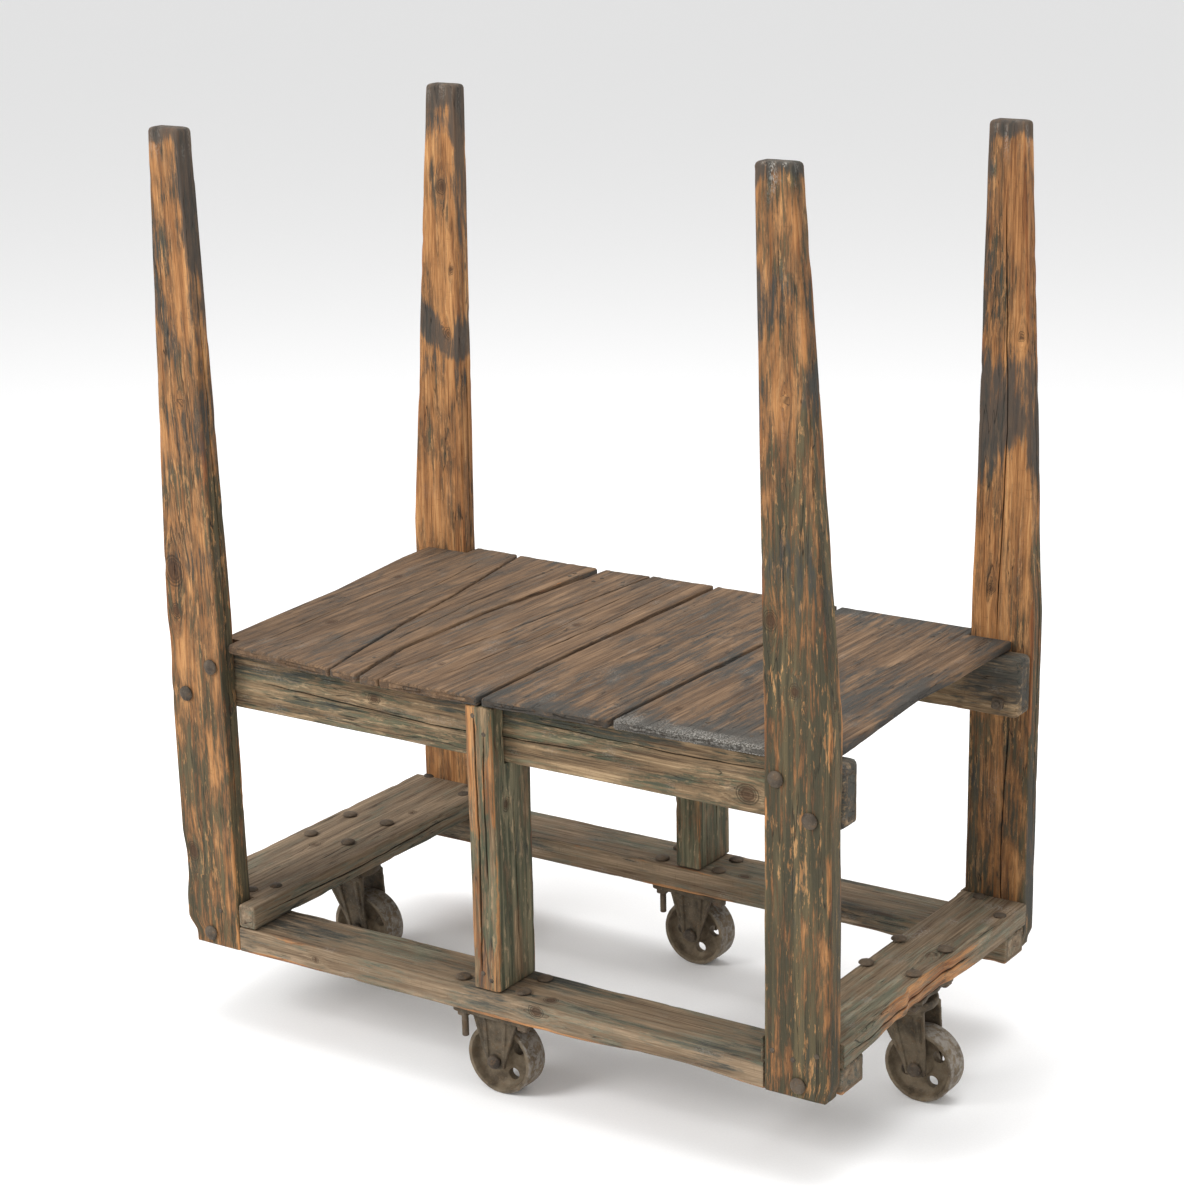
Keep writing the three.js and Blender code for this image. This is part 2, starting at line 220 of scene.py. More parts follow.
def wood_material(name, dark, mid, light, grime_and_shade, paint, paint_light, amount, fleck=0.7,
                  ring_pitch=0.006):
    """Weathered timber. The mesh carries where the grain runs and where the wood
    is bare, sooty, painted, pale or knotty, and the soot and paint masks also carry
    painted shade; the shader breaks those up finely.
    amount is how much grime lies over the whole timber."""
    s = Shader(name)
    grain = s.attribute("grain_at", "Vector")
    paint_and_shade_level = s.attribute("paint")

    def streaky(scale, detail, rough, distortion=0.0, location=(0, 0, 0)):
        return s.noise(s.stretch(grain, scale, location), 1.0, detail, rough, distortion)
    fibres = streaky((9, 420, 420), 6, 0.68, 0.25)
    streaks = streaky((3.5, 85, 85), 6, 0.66, 0.5, (7, 3, 1))
    patches = streaky((7, 22, 22), 6, 0.66, 0.4, (3, 9, 5))
    flakes = streaky((15, 130, 130), 7, 0.74, 0.35, (5, 2, 8))
    specks = streaky((300, 520, 520), 3, 0.7)
    across_grain = streaky((420, 45, 45), 4, 0.6, 0.0, (2, 6, 4))
    rings = s.output("ShaderNodeTexWave", "Fac", {
        "Vector": s.stretch(grain, (0.16, 1, 1), (0, 0.035, 0.05)),
        "Scale": RING_SCALE / ring_pitch, "Distortion": 4.5, "Detail": 4.0,
        "Detail Scale": 1.6, "Detail Roughness": 0.6},
        wave_type="RINGS", rings_direction="X", wave_profile="SAW")

    color = s.ramp(fibres * 0.5 + streaks * 0.5, (0.38, dark), (0.5, mid), (0.62, light))
    late_wood = s.band(rings, 0.5, 0.98) * s.band(patches, 0.35, 0.6)
    color = s.mix(late_wood * 0.6, color, dark)
    color = s.mix(s.band(across_grain, 0.6, 0.72) * 0.35, color, dark)

    # Brown grime in broad ragged patches and in the pores, heavier where the paint mask is high,
    # so it also deepens the painted shade that mask carries
    dirt_and_shade = ((patches - 0.5) * 2.6 + (flakes - 0.5) * 2.2 + (fibres - 0.5) * 1.6
            + paint_and_shade_level * 0.75 + amount)
    dirt_and_shade = s.band(dirt_and_shade, 0.25, 0.95)
    color = s.mix(dirt_and_shade * 0.85, color, grime_and_shade)

    # Paint that survives in the pores and hollows; where the paint mask carries painted shade,
    # this lays it on too
    coat_and_shade = paint_and_shade_level + (flakes - 0.5) * 2.6 + (fibres - 0.5) * 2.0 + (patches - 0.5) * 3.0
    coat_and_shade = s.band(coat_and_shade, 0.34, 0.74)
    color = s.mix(coat_and_shade * 0.86, color, s.mix(s.band(streaks, 0.42, 0.62), paint, paint_light))

    # Flecks and chips of clean wood showing through the paint
    chips = streaky((34, 190, 190), 5, 0.72, 0.2, (9, 1, 6)) + (patches - 0.5) * 0.5
    chips = s.band(chips, 0.57, 0.66) * s.band(dirt_and_shade, 0.15, 0.6)
    color = s.mix(chips * fleck, color, s.ramp(streaks, (0.4, mid), (0.6, light)))

    # Bare orange wood on worn edges and beside splits
    bare = s.attribute("bare") + (flakes - 0.5) * 3.0
    bare = s.band(bare, 0.5, 0.72) * s.band(fibres, 0.34, 0.58)
    color = s.mix(bare * 0.85, color, s.ramp(
        streaks, (0.4, (0.2, 0.065, 0.02)), (0.62, (0.55, 0.25, 0.085))))

    # Soot and painted shade, its border feathered along the fibres
    soot = (s.attribute("soot") + (patches - 0.5) * 2.0 + (flakes - 0.5) * 2.2
            + (fibres - 0.5) * 1.2)
    color = s.mix(s.band(soot, 0.35, 0.95) * 0.85, color, (0.04, 0.04, 0.036))

    # Pale scuffs
    pale = s.attribute("pale") * s.band(specks, 0.44, 0.6)
    color = s.mix(pale * 0.7, color, (0.42, 0.4, 0.36))

    knot = s.attribute("knot")
    knot_rings = (s.math("SINE", knot * 26.0) * 0.5 + 0.5) * s.band(knot, 0.04, 0.3)
    color = s.mix(knot_rings * 0.7, color, (0.035, 0.02, 0.01))
    knot = s.band(knot + (flakes - 0.5) * 0.6, 0.35, 0.9)
    color = s.mix(knot * 0.75, color, (0.06, 0.028, 0.013))

    # Hairline drying checks, and painted shade inside the cut splits, darker where they are cut
    # deeper
    hair = s.math("ABSOLUTE", streaky((2.5, 60, 60), 3, 0.5, 0.5, (1, 5, 2)) - 0.5)
    hair_line = s.math("SUBTRACT", 1.0, s.band(hair, 0.0, 0.009)) * s.band(patches, 0.42, 0.56)
    split_shade = s.band(s.attribute("split"), 0.08, 0.5)
    color = s.mix(s.math("MAXIMUM", hair_line * 0.8, split_shade * 0.95), color, (0.01, 0.007, 0.004))

    height = fibres * 0.7 + flakes * 0.45 - hair_line * 0.6 + coat_and_shade * 0.15
    return s.finish(color, specks * 0.3 + 0.66, height, 0.85, 0.0018)


def iron_material(name, dark, mid, rust, tread=None):
    """Grimy cast or forged iron; 'polish' on the mesh marks what use has rubbed."""
    s = Shader(name)
    place = s.place()
    coarse = s.noise(place, 45, 5, 0.6)
    fine = s.noise(place, 420, 4, 0.65)
    blotch = s.noise(place, 110, 4, 0.7, 0.5)
    color = s.ramp(coarse, (0.35, dark), (0.62, mid))
    color = s.mix(s.band(blotch, 0.5, 0.68) * 0.7, color, rust)
    color = s.mix(s.band(fine, 0.56, 0.72) * 0.35, color, (0.3, 0.24, 0.18))
    if tread:
        color = s.mix(s.attribute("polish") * s.band(blotch, 0.62, 0.36), color, tread)
    return s.finish(color, blotch * 0.45 + 0.5, fine * 0.4 + blotch * 0.6, 0.5, 0.0009, 0.25)


WOODS = {
    "post_wood": wood_material(
        "post_wood", (0.12, 0.045, 0.014), (0.35, 0.16, 0.055), (0.56, 0.3, 0.12),
        (0.1, 0.056, 0.028), (0.036, 0.038, 0.022), (0.1, 0.083, 0.042), 0.5, 0.65),
    "deck_wood": wood_material(
        "deck_wood", (0.045, 0.025, 0.013), (0.13, 0.076, 0.04), (0.24, 0.148, 0.082),
        (0.085, 0.058, 0.038), (0.06, 0.048, 0.036), (0.12, 0.088, 0.062), 0.42, 0.3, 0.009),
    "upper_frame_wood": wood_material(
        "upper_frame_wood", (0.055, 0.032, 0.016), (0.22, 0.145, 0.078), (0.46, 0.33, 0.19),
        (0.105, 0.08, 0.048), (0.05, 0.06, 0.034), (0.19, 0.17, 0.1), 0.3),
    "base_frame_wood": wood_material(
        "base_frame_wood", (0.075, 0.045, 0.025), (0.2, 0.14, 0.085), (0.34, 0.245, 0.155),
        (0.17, 0.14, 0.094), (0.11, 0.115, 0.076), (0.26, 0.24, 0.165), 0.32),
}
FORGED_RUST = (0.13, 0.08, 0.045)
bolt_iron = iron_material("bolt_iron", (0.035, 0.027, 0.02), (0.1, 0.077, 0.055), FORGED_RUST)
dusty_iron = iron_material("dusty_iron", (0.06, 0.044, 0.03), (0.135, 0.1, 0.068), FORGED_RUST)
caster_iron = iron_material("caster_iron", (0.045, 0.035, 0.023), (0.12, 0.092, 0.06),
                            (0.115, 0.075, 0.042))
wheel_iron = iron_material("wheel_iron", (0.075, 0.056, 0.036), (0.19, 0.148, 0.098),
                           (0.15, 0.105, 0.065), tread=(0.25, 0.225, 0.195))


# ---------------------------------------------------------------- mesh output
def make_object(name, points, faces, material, attributes=(), sharp=40):
    """A mesh object from points in millimetres, its faces turned outward."""
    mesh = bpy.data.meshes.new(name)
    mesh.from_pydata((np.asarray(points) * MM).tolist(), [], [list(map(int, f)) for f in faces])
    mesh.validate()
    tidy = bmesh.new()
    tidy.from_mesh(mesh)
    bmesh.ops.recalc_face_normals(tidy, faces=tidy.faces)
    tidy.to_mesh(mesh)
    tidy.free()
    for key, values in dict(attributes).items():
        values = np.asarray(values, np.float32)
        kind = "FLOAT_VECTOR" if values.ndim == 2 else "FLOAT"
        layer = mesh.attributes.new(key, kind, "POINT")
        layer.data.foreach_set("vector" if values.ndim == 2 else "value", values.ravel())
    mesh.shade_smooth()
    mesh.set_sharp_from_angle(angle=math.radians(sharp))
    mesh.materials.append(material)
    return link(bpy.data.objects.new(name, mesh))


def stand_for(piece, node, body):
    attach(piece, body)
    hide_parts(node)


def mm_box(node):
    low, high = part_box(node)
    return np.array(low) / MM, np.array(high) / MM


# -------------------------------------------------------------------- timbers
class Crack:
    """A split along one face: its path as (along, across) points, in mm."""

    def __init__(self, path, width=1.6, depth=7.0, fade=60.0):
        self.path = path
        self.width = width
        self.depth = depth
        self.fade = fade

    def at(self, s, seed):
        along, across = zip(*sorted(self.path))
        places = np.interp(s, along, across) + 1.3 * noise(s / 24.0, 0.5, 0.5, seed)
        ends = smooth(s, along[0], along[0] + self.fade)
        ends = ends * smooth(-s, -along[-1], self.fade - along[-1])
        strength = ends * (0.75 + 0.35 * noise(s / 33.0, 3.5, 0.5, seed + 1))
        return places, np.clip(strength, 0, 1.1)


def columns(start, end, cracks, s, spacing, seed):
    """Places across one face, at every station, with how deep each is split."""
    anchors = [(start, None)]
    for i, crack in enumerate(cracks):
        places, strength = crack.at(s, seed + 11 * i)
        room = np.maximum((end - start) * 0.04, 0.2)
        low, high = start + room * (i + 1), end - room * (len(cracks) - i)
        anchors.append((np.clip(places, low, high), (crack, strength)))
    anchors.append((end, None))
    places, depths, nearness = [], [], []
    zero = np.zeros_like(s)
    for (a, a_crack), (b, b_crack) in zip(anchors[:-1], anchors[1:]):
        left = a if a_crack is None else a + 0.3 + a_crack[0].width * 0.8 * a_crack[1]
        right = b if b_crack is None else b - 0.3 - b_crack[0].width * 0.8 * b_crack[1]
        count = max(2, int(round(float(np.max(b - a)) / spacing)))
        for k in range(count + 1):
            places.append(left + (right - left) * k / count)
            depths.append(zero)
            beside = zero
            if k == 0 and a_crack is not None:
                beside = a_crack[1]
            if k == count and b_crack is not None:
                beside = b_crack[1]
            nearness.append(beside)
        if b_crack is not None:
            places.append(b)
            depths.append(b_crack[0].depth * b_crack[1])
            nearness.append(zero)
    return np.array(places), np.array(depths), np.array(nearness)


CORNER_STEPS = (30, 60)              # angles of the points round each arris
STATION = 6.0                        # between stations along a timber
END_STATIONS = (0.8, 1.8, 3.2)       # extra stations near each end
END_RINGS = (0.82, 0.6, 0.36, 0.14)  # sizes of the rings that close an end


def timber(name, node, grain, section, limits, slot, *, spacing=5.0, cracks=(), knots=(),
           marks=None, edge=2.2, chips=4.0, end_round=(3.0, 3.0), steps=(), rough=1.0,
           edge_wear=1.0, bow=None, seed=1):
    """One worn timber. grain is the axis it runs along, section its two other axes.
    limits(s) gives (u0, u1, v0, v1) at stations s. steps are stations where the
    limits jump. cracks is a list of (face, Crack), with faces u0, u1, v0 and v1."""
    low, high = mm_box(node)
    g, u, v = AXIS[grain], AXIS[section[0]], AXIS[section[1]]
    begin, finish = low[g] + 0.2, high[g] - 0.2
    s = np.linspace(begin, finish, max(8, int((finish - begin) / STATION)))
    near_ends = [begin + d for d in END_STATIONS] + [finish - d for d in END_STATIONS]
    s = np.sort(np.concatenate([s, near_ends, [x + d for x in steps for d in (-0.25, 0.25)]]))
    u0, u1, v0, v1 = (np.array(np.broadcast_to(x, s.shape), float) for x in limits(s))

    # Rounded ends and a gentle wander of each face, always inward
    for distance, radius in ((s - begin, end_round[0]), (finish - s, end_round[1])):
        inside = np.clip(radius - distance, 0, radius)
        inset = radius - np.sqrt(np.maximum(radius**2 - inside**2, 0))
        u0, u1, v0, v1 = u0 + inset, u1 - inset, v0 + inset, v1 - inset
    wander = [0.1 + 0.3 * rough * (1 + noise(s / 130.0, k + 0.5, 0.5, seed)) for k in range(4)]
    u0, u1, v0, v1 = u0 + wander[0], u1 - wander[1], v0 + wander[2], v1 - wander[3]

    # Corner radii: a worn arris with the odd chip
    half = 0.45 * np.minimum(u1 - u0, v1 - v0)
    radii = []
    for k in range(4):
        r = edge * (1 + 0.5 * noise(s / 50.0, k + 7.5, 0.5, seed + 2))
        bite = np.clip(noise(s / 26.0, k + 3.5, 2.5, seed + 3) - 0.35, 0, 1)
        slow = np.clip(noise(s / 150.0, k + 5.5, 4.5, seed + 4), 0, 1)
        radii.append(np.minimum(r + chips * (2.0 * bite + 0.7 * slow), half))

    places, normals, split, beside, corner = [], [], [], [], []
    faces = (("v0", u0 + radii[3], u1 - radii[0]), ("u1", v0 + radii[0], v1 - radii[1]),
             ("v1", u1 - radii[1], u0 + radii[2]), ("u0", v1 - radii[2], v0 + radii[3]))
    centres = ((u1, v0, -1, 1, -90), (u1, v1, -1, -1, 0), (u0, v1, 1, -1, 90), (u0, v0, 1, 1, 180))
    flat = {"v0": (0, -1), "u1": (1, 0), "v1": (0, 1), "u0": (-1, 0)}
    level = {"v0": v0, "u1": u1, "v1": v1, "u0": u0}
    for k, (face, start, end) in enumerate(faces):
        mine = [crack for side, crack in cracks if side == face]
        backward = face in ("v1", "u0")
        a, b = (end, start) if backward else (start, end)
        across, depth, near = columns(a, b, mine, s, spacing, seed + 31 * k)
        if backward:
            across, depth, near = across[::-1], depth[::-1], near[::-1]
        for j in range(len(across)):
            fixed = level[face]
            places.append((across[j], fixed) if face[0] == "v" else (fixed, across[j]))
            normals.append(flat[face])
            split.append(depth[j])
            beside.append(near[j])
            corner.append(np.full_like(s, 1.0 if j in (0, len(across) - 1) else 0.0))
        cu, cv, side_u, side_v, start_angle = centres[k]
        r = radii[k]
        for step in CORNER_STEPS:
            angle = math.radians(start_angle + step)
            direction = (math.cos(angle), math.sin(angle))
            places.append((cu + side_u * r + r * direction[0],
                           cv + side_v * r + r * direction[1]))
            normals.append(direction)
            split.append(np.zeros_like(s))
            beside.append(np.zeros_like(s))
            corner.append(np.ones_like(s))
    pu = np.array([p[0] for p in places]).T
    pv = np.array([p[1] for p in places]).T
    nu = np.array([n[0] for n in normals])[None, :]
    nv = np.array([n[1] for n in normals])[None, :]
    split, beside, corner = np.array(split).T, np.array(beside).T, np.array(corner).T
    ss = s[:, None] + 0 * pu

    ridges = 1 - np.abs(noise(ss / 95.0, pu / 3.4, pv / 3.4, seed + 5))
    dents = np.clip(noise(ss / 30.0, pu / 13.0, pv / 13.0, seed + 6) - 0.45, 0, 1)
    inset = rough * (0.4 * ridges + 2.0 * dents) + split
    inset = np.minimum(inset, 0.45 * np.minimum(u1 - u0, v1 - v0)[:, None] + split)
    qu, qv = pu - nu * inset, pv - nv * inset

    # Knots: the fibres run round them, the wood is darker and slightly sunk
    knot = np.zeros_like(ss)
    swirl = np.zeros_like(ss)
    for face, along, across, size in knots:
        facing = (nu * flat[face][0] + nv * flat[face][1]) > 0.7
        coordinate = pu if face[0] == "v" else pv
        ds, dp = ss - along, coordinate - across
        spread = np.exp(-((ds / (2.6 * size))**2 + (dp / (1.3 * size))**2)) * facing
        swirl = swirl + spread * np.sign(dp) * size * 0.8
        knot = np.maximum(knot, np.exp(-((ds / size)**2 + (dp / (0.8 * size))**2)**1.5) * facing)
    qu, qv = qu - nu * 1.2 * knot, qv - nv * 1.2 * knot

    points = np.zeros((*ss.shape, 3))
    points[..., g], points[..., u], points[..., v] = ss, qu, qv
    if bow is not None:
        points += bow(ss, qu, qv)
    grain_at = np.stack([ss + 137.0 * seed, pu - swirl + 61.0 * seed,
                         pv - swirl * 0.3 + 29.0 * seed], -1)
    worn = corner * (0.5 + 0.6 * noise(ss / 60.0, pu / 30.0, pv / 30.0, seed + 7))
    # split is how deep each point sits in a cut split; the shader paints shade there
    masks = {"bare": edge_wear * np.clip(worn + 0.3 * beside, 0, 1),
             "split": np.clip(split / 4.0, 0, 1), "knot": knot,
             **{key: np.zeros_like(ss) for key in ("soot", "paint", "pale")}}
    for key, amount in (marks(ss, qu, qv, nu, nv) if marks else {}).items():
        masks[key] = np.clip(masks[key] + amount, 0, 1.5)

    # Close both ends with shrinking rings
    count = pu.shape[1]
    rings = [points.reshape(-1, 3)]
    grains = [grain_at.reshape(-1, 3)]
    flats = {key: [value.reshape(-1)] for key, value in masks.items()}
    rows = len(s)
    index = np.arange(rows * count).reshape(rows, count)
    beyond = np.roll(index, -1, axis=1)
    quads = np.stack([index[:-1], beyond[:-1], beyond[1:], index[1:]], -1)
    faces_out = quads.reshape(-1, 4).tolist()
    base = rows * count
    for end, sign in ((0, 1), (rows - 1, -1)):
        ring, centre = points[end], points[end].mean(0)
        before = index[end]
        for shrink in END_RINGS:
            inner = centre + (ring - centre) * shrink
            bumps = noise(inner[:, u] / 5.0, inner[:, v] / 5.0, sign * 3.5, seed + 8)
            inner[:, g] += sign * rough * (0.5 + 0.7 * bumps)
            rings.append(inner)
            grains.append(np.stack([inner[:, g] * 0 + 500.0 * sign + bumps,
                                    inner[:, u] * 0.35, inner[:, v] * 0.35], -1))
            for key in flats:
                flat_value = 0.15 if key == "bare" else float(masks[key][end].mean())
                flats[key].append(np.full(count, flat_value))
            now = np.arange(base, base + count)
            base += count
            ring_quads = np.stack([before, np.roll(before, -1), np.roll(now, -1), now], -1)
            faces_out.extend(ring_quads.tolist())
            before = now
        faces_out.append(before.tolist())
    piece = make_object(f"{name}_wood", np.concatenate(rings), faces_out, WOODS[slot],
                        {"grain_at": np.concatenate(grains) * MM,
                         **{key: np.concatenate(value) for key, value in flats.items()}})
    stand_for(piece, node, "frame")


# ------------------------------------------------------------- frame measures
POSTS = {name: mm_box(f"post_{name}") for name in
         ("front_left", "front_right", "back_left", "back_right")}
X_LEFT = POSTS["front_left"][0][0]            # outer face of the left posts
X_RIGHT = POSTS["front_right"][1][0]
Y_FRONT = mm_box("strut_front")[0][1]         # front plane of the timbers
Y_BACK = -Y_FRONT
POST_WIDTH = POSTS["front_left"][1][0] - X_LEFT
POST_DEPTH = 31.0
POST_TOP_DEPTH = 28.0
TAPER_START = 612.0
POST_TAPER = 42.0
POST_LEAN = 8.0
SWAY_HEIGHT = 1264.0                          # where a post's top has moved by its sway
NOTCH = POST_DEPTH + 1.2                      # how far rails and beams clear the posts
LAP_GAP = 1.2                                 # between a rail's or beam's notch and a post
BEAM_TOP = mm_box("end_beam_left")[1][2]
DECK_TOP = mm_box("deck_plank_1")[1][2]
NOTCH_ENDS = (X_LEFT + POST_WIDTH + LAP_GAP, X_RIGHT - POST_WIDTH - LAP_GAP)


def across(x):
    """A place along the cart, measured from the left posts' outer face."""
    return X_LEFT + x


def placed(origins, cracks, knots):
    """Cracks as (face, path, width, depth, fade) and knots as (face, along, across,
    size), all measured from origins: an (along, across) pair for the u and the v faces."""
    made = []
    for face, path, *how in cracks:
        along, beside = origins[face[0]]
        made.append((face, Crack([(s + along, c + beside) for s, c in path], *how)))
    return {"cracks": made, "knots": [
        (face, s + origins[face[0]][0], c + origins[face[0]][1], size)
        for face, s, c, size in knots]}


# ----------------------------------------------------------------------- posts
def post_limits(name):
    low, high = POSTS[name]
    side = FRONT if "front" in name else BACK

    def limits(z):
        t = np.clip((z - TAPER_START) / (high[2] - TAPER_START), 0, 1)
        lean = POST_LEAN * t
        thin = POST_DEPTH + (POST_TOP_DEPTH - POST_DEPTH) * t
        outer = side * (Y_BACK + lean)
        inner = side * (Y_BACK + lean - thin)
        taper = POST_TAPER * t
        x0 = low[0] + (taper if "left" in name else 0)
        x1 = high[0] - (taper if "right" in name else 0)
        return x0, x1, np.minimum(outer, inner), np.maximum(outer, inner)
    return limits


def post_marks(name, soot_bands, paint_from, pale_top, paint_and_shade_level, seed):
    """Stains on a post: sooty top and edges, dark bands where loads leaned,
    green paint below paint_from and on the sides, and painted shade on the
    side faces, laid on as extra soot and paint."""
    low, high = POSTS[name]
    top = high[2]
    middle = (low[0] + high[0]) / 2

    def marks(z, x, y, nx, nz):
        def patchy(across_x, across_y, along, step):
            return noise(x / across_x, y / across_y, z / along, seed + step)
        ragged = 60 * patchy(30.0, 30.0, 90.0, 0)
        flank = np.abs(nx)
        edge = np.abs(x - middle) / (POST_WIDTH / 2)
        upper = smooth(z, 800, 1150)
        streak = noise(z / 140.0, x / 60.0, 0.5, seed + 1)
        side_streak = noise(z / 120.0, y / 60.0, 0.5, seed + 2)
        soot = 1.1 * smooth(z + ragged * 0.2, top - 34, top - 6)
        soot = soot + upper * smooth(edge, 0.72, 1.0) * (0.55 + 0.5 * streak)
        # painted shade: extra soot on the side faces up high
        soot = soot + 0.5 * upper * flank * (0.7 + 0.6 * side_streak)
        soot = soot + 0.3 * upper * smooth(patchy(26.0, 40.0, 70.0, 7), 0.0, 0.5)
        for level, half, strength in soot_bands:
            distance = np.abs(z + ragged * 0.55 - level)
            soot = soot + strength * smooth(-distance, -half, -half * 0.25)
        # painted shade: extra soot on the side faces low down
        soot = soot + 0.3 * flank * smooth(-z, -700, -500)
        # the side faces get extra paint, partly real paint and partly painted shade
        paint = (0.42 + 0.5 * flank) * smooth(-(z + ragged), -paint_from, -(paint_from - 260))
        paint = paint + 0.3 * flank * smooth(-z, -1050, -700) + paint_and_shade_level
        paint = paint + 0.22 * smooth(edge, 0.7, 1.0) * smooth(-z, -1200, -700)
        pale = pale_top * smooth(z, top - 60, top - 8) * smooth(patchy(7.0, 7.0, 22.0, 5), 0, 0.6)
        pale = pale + 0.12 * smooth(patchy(12.0, 12.0, 60.0, 6), 0.5, 0.9)
        return {"soot": soot, "paint": np.clip(paint, -0.35, 0.9), "pale": pale}
    return marks


def post_bow(name, bites, sway):
    """Worn hollows on the outer edge, each (height, half length, depth), and how far
    the top has moved along the cart."""
    outward = -1 if "left" in name else 1
    middle = (POSTS[name][0][0] + POSTS[name][1][0]) / 2

    def bow(z, x, y):
        share = np.clip(outward * (x - middle) / (POST_WIDTH / 2), 0, 1)
        moved = np.zeros((*z.shape, 3))
        moved[..., 0] += sway * np.clip((z - TAPER_START) / (SWAY_HEIGHT - TAPER_START), 0, 1)
        for level, half, depth in bites:
            near = smooth(-np.abs(z - level), -half, -half * 0.2)
            moved[..., 0] -= outward * depth * share * near
        return moved
    return bow


# Measured along the height, then from the left posts' outer face on the v faces
# and from the cart's own front or back plane on the u faces. The marks are the
# soot bands (height, half length, strength), paint_from, pale_top and the level
# added to the paint, which also carries painted shade.
POST_LOOKS = {
    "front_left": {
        "cracks": [("v0", [(640, 20), (820, 38), (1010, 44), (1240, 62)], 1.2, 5),
                   ("v0", [(165, 66), (420, 71), (600, 62)], 1.2, 5),
                   ("v0", [(126, 18), (190, 17), (330, 24)], 3.0, 9, 30),
                   ("u1", [(300, 12), (700, 17), (1100, 6)], 1.2, 5)],
        "knots": [("v0", 669, 22, 20), ("v0", 612, 20, 10), ("v0", 261, 17, 13),
                  ("v0", 905, 58, 7), ("u1", 480, 15, 6)],
        "marks": (((1170, 130, 0.3), (1020, 90, 0.4), (860, 70, 0.4), (690, 50, 0.4)),
                  660, 0.4, 0.12),
        "bites": ((132, 30, 15), (240, 55, 5), (560, 45, 2)),
        "sway": -5.0,
    },
    "front_right": {
        "cracks": [("v0", [(700, 1010), (900, 1003), (1100, 988), (1262, 984)], 1.8, 8, 30),
                   ("v0", [(128, 1000), (210, 1003), (360, 1012)], 3.2, 11, 30),
                   ("v0", [(420, 975), (620, 966), (760, 971)], 2.2, 8, 50),
                   ("v0", [(150, 962), (300, 966), (500, 958)], 1.0, 5),
                   ("u1", [(250, 17), (520, 12), (900, 16)], 1.6, 7),
                   ("u1", [(1000, 8), (1120, 4), (1240, 2)], 1.2, 5)],
        "knots": [("v0", 738, 958, 12), ("v0", 1003, 983, 7), ("v0", 655, 990, 9),
                  ("u1", 640, 14, 5)],
        "marks": (((1120, 60, 0.4), (1010, 60, 0.5), (790, 70, 0.5), (250, 330, 0.2)),
                  920, 1.0, 0.42),
        "bites": ((126, 20, 5), (470, 70, 1.5)),
        "sway": -7.0,
    },
    "back_left": {
        "cracks": [("v0", [(640, 60), (900, 72), (1150, 66)], 1.0, 5),
                   ("v0", [(700, 40), (960, 48), (1240, 58)], 0.9, 4),
                   ("u1", [(500, -14), (900, -10)], 1.2, 5)],
        "knots": [("v0", 1120, 66, 10), ("v0", 905, 70, 9), ("v0", 1000, 80, 6)],
        "marks": (((905, 48, 1.1), (845, 30, 0.5), (1240, 45, 0.7)), 600, 0.3, -0.35),
        "bites": ((840, 60, 1.5),),
        "sway": 4.0,
    },
    "back_right": {
        "cracks": [("v0", [(560, 985), (860, 990), (1180, 975)], 1.2, 5),
                   ("v0", [(135, 1003), (300, 1000), (460, 1008)], 1.6, 7, 40),
                   ("u1", [(300, -14), (700, -10), (1100, -4)], 1.4, 6)],
        "knots": [("v0", 985, 1005, 6), ("v0", 640, 975, 7)],
        "marks": (((890, 95, 1.0), (820, 60, 0.5), (280, 240, 0.4)), 620, 0.7, 0.02),
        "bites": ((128, 22, 6), (700, 80, 1.5)),
        "sway": 4.0,
    },
}
for number, (name, look) in enumerate(POST_LOOKS.items()):
    origins = {"v": (0, X_LEFT), "u": (0, Y_FRONT if "front" in name else Y_BACK)}
    timber(f"post_{name}", f"post_{name}", "z", "xy", post_limits(name), "post_wood",
           **placed(origins, look["cracks"], look["knots"]), end_round=(3.0, 6.0),
           edge=3.0, rough=1.1, marks=post_marks(name, *look["marks"], 40 + number),
           bow=post_bow(name, look["bites"], look["sway"]), seed=11 + number)


# ----------------------------------------------------------------------- rails
def rail_marks(paint, soot, pale, seed, bare_low=0.0, shaded=0.0):
    """Patchy paint and grime; bare_low wears the lower front edge to bare wood and
    shaded lays painted shade along the top, under the deck's edge, and darkens
    the right end."""
    def marks(s, u, v, nu, nv):
        def patchy(along, beside, step):
            return noise(s / along, u / beside, v / beside, seed + step)
        rough = patchy(110.0, 40.0, 0)
        # painted shade along the top of the rail, under the deck's edge
        under_deck_shade = smooth(v + 14 * rough, v.max() - 40, v.max() - 12)
        right_end = smooth(s, across(900), across(985))
        out = {"paint": np.clip(paint + 0.25 * rough, 0, 1),
               "soot": np.clip(soot + 0.35 * patchy(90.0, 50.0, 1), 0, 1)
               + shaded * np.maximum(0.55 * under_deck_shade, right_end),
               "pale": pale * smooth(patchy(30.0, 12.0, 2), 0.25, 0.8)}
        if bare_low:
            worn = smooth(noise(s / 120.0, 0.5, 0.5, seed + 3), -0.3, 0.3)
            out["bare"] = bare_low * smooth(-(v - v.min()), -9, -1) * worn
            out["paint"] = out["paint"] - out["bare"]
        return out
    return marks


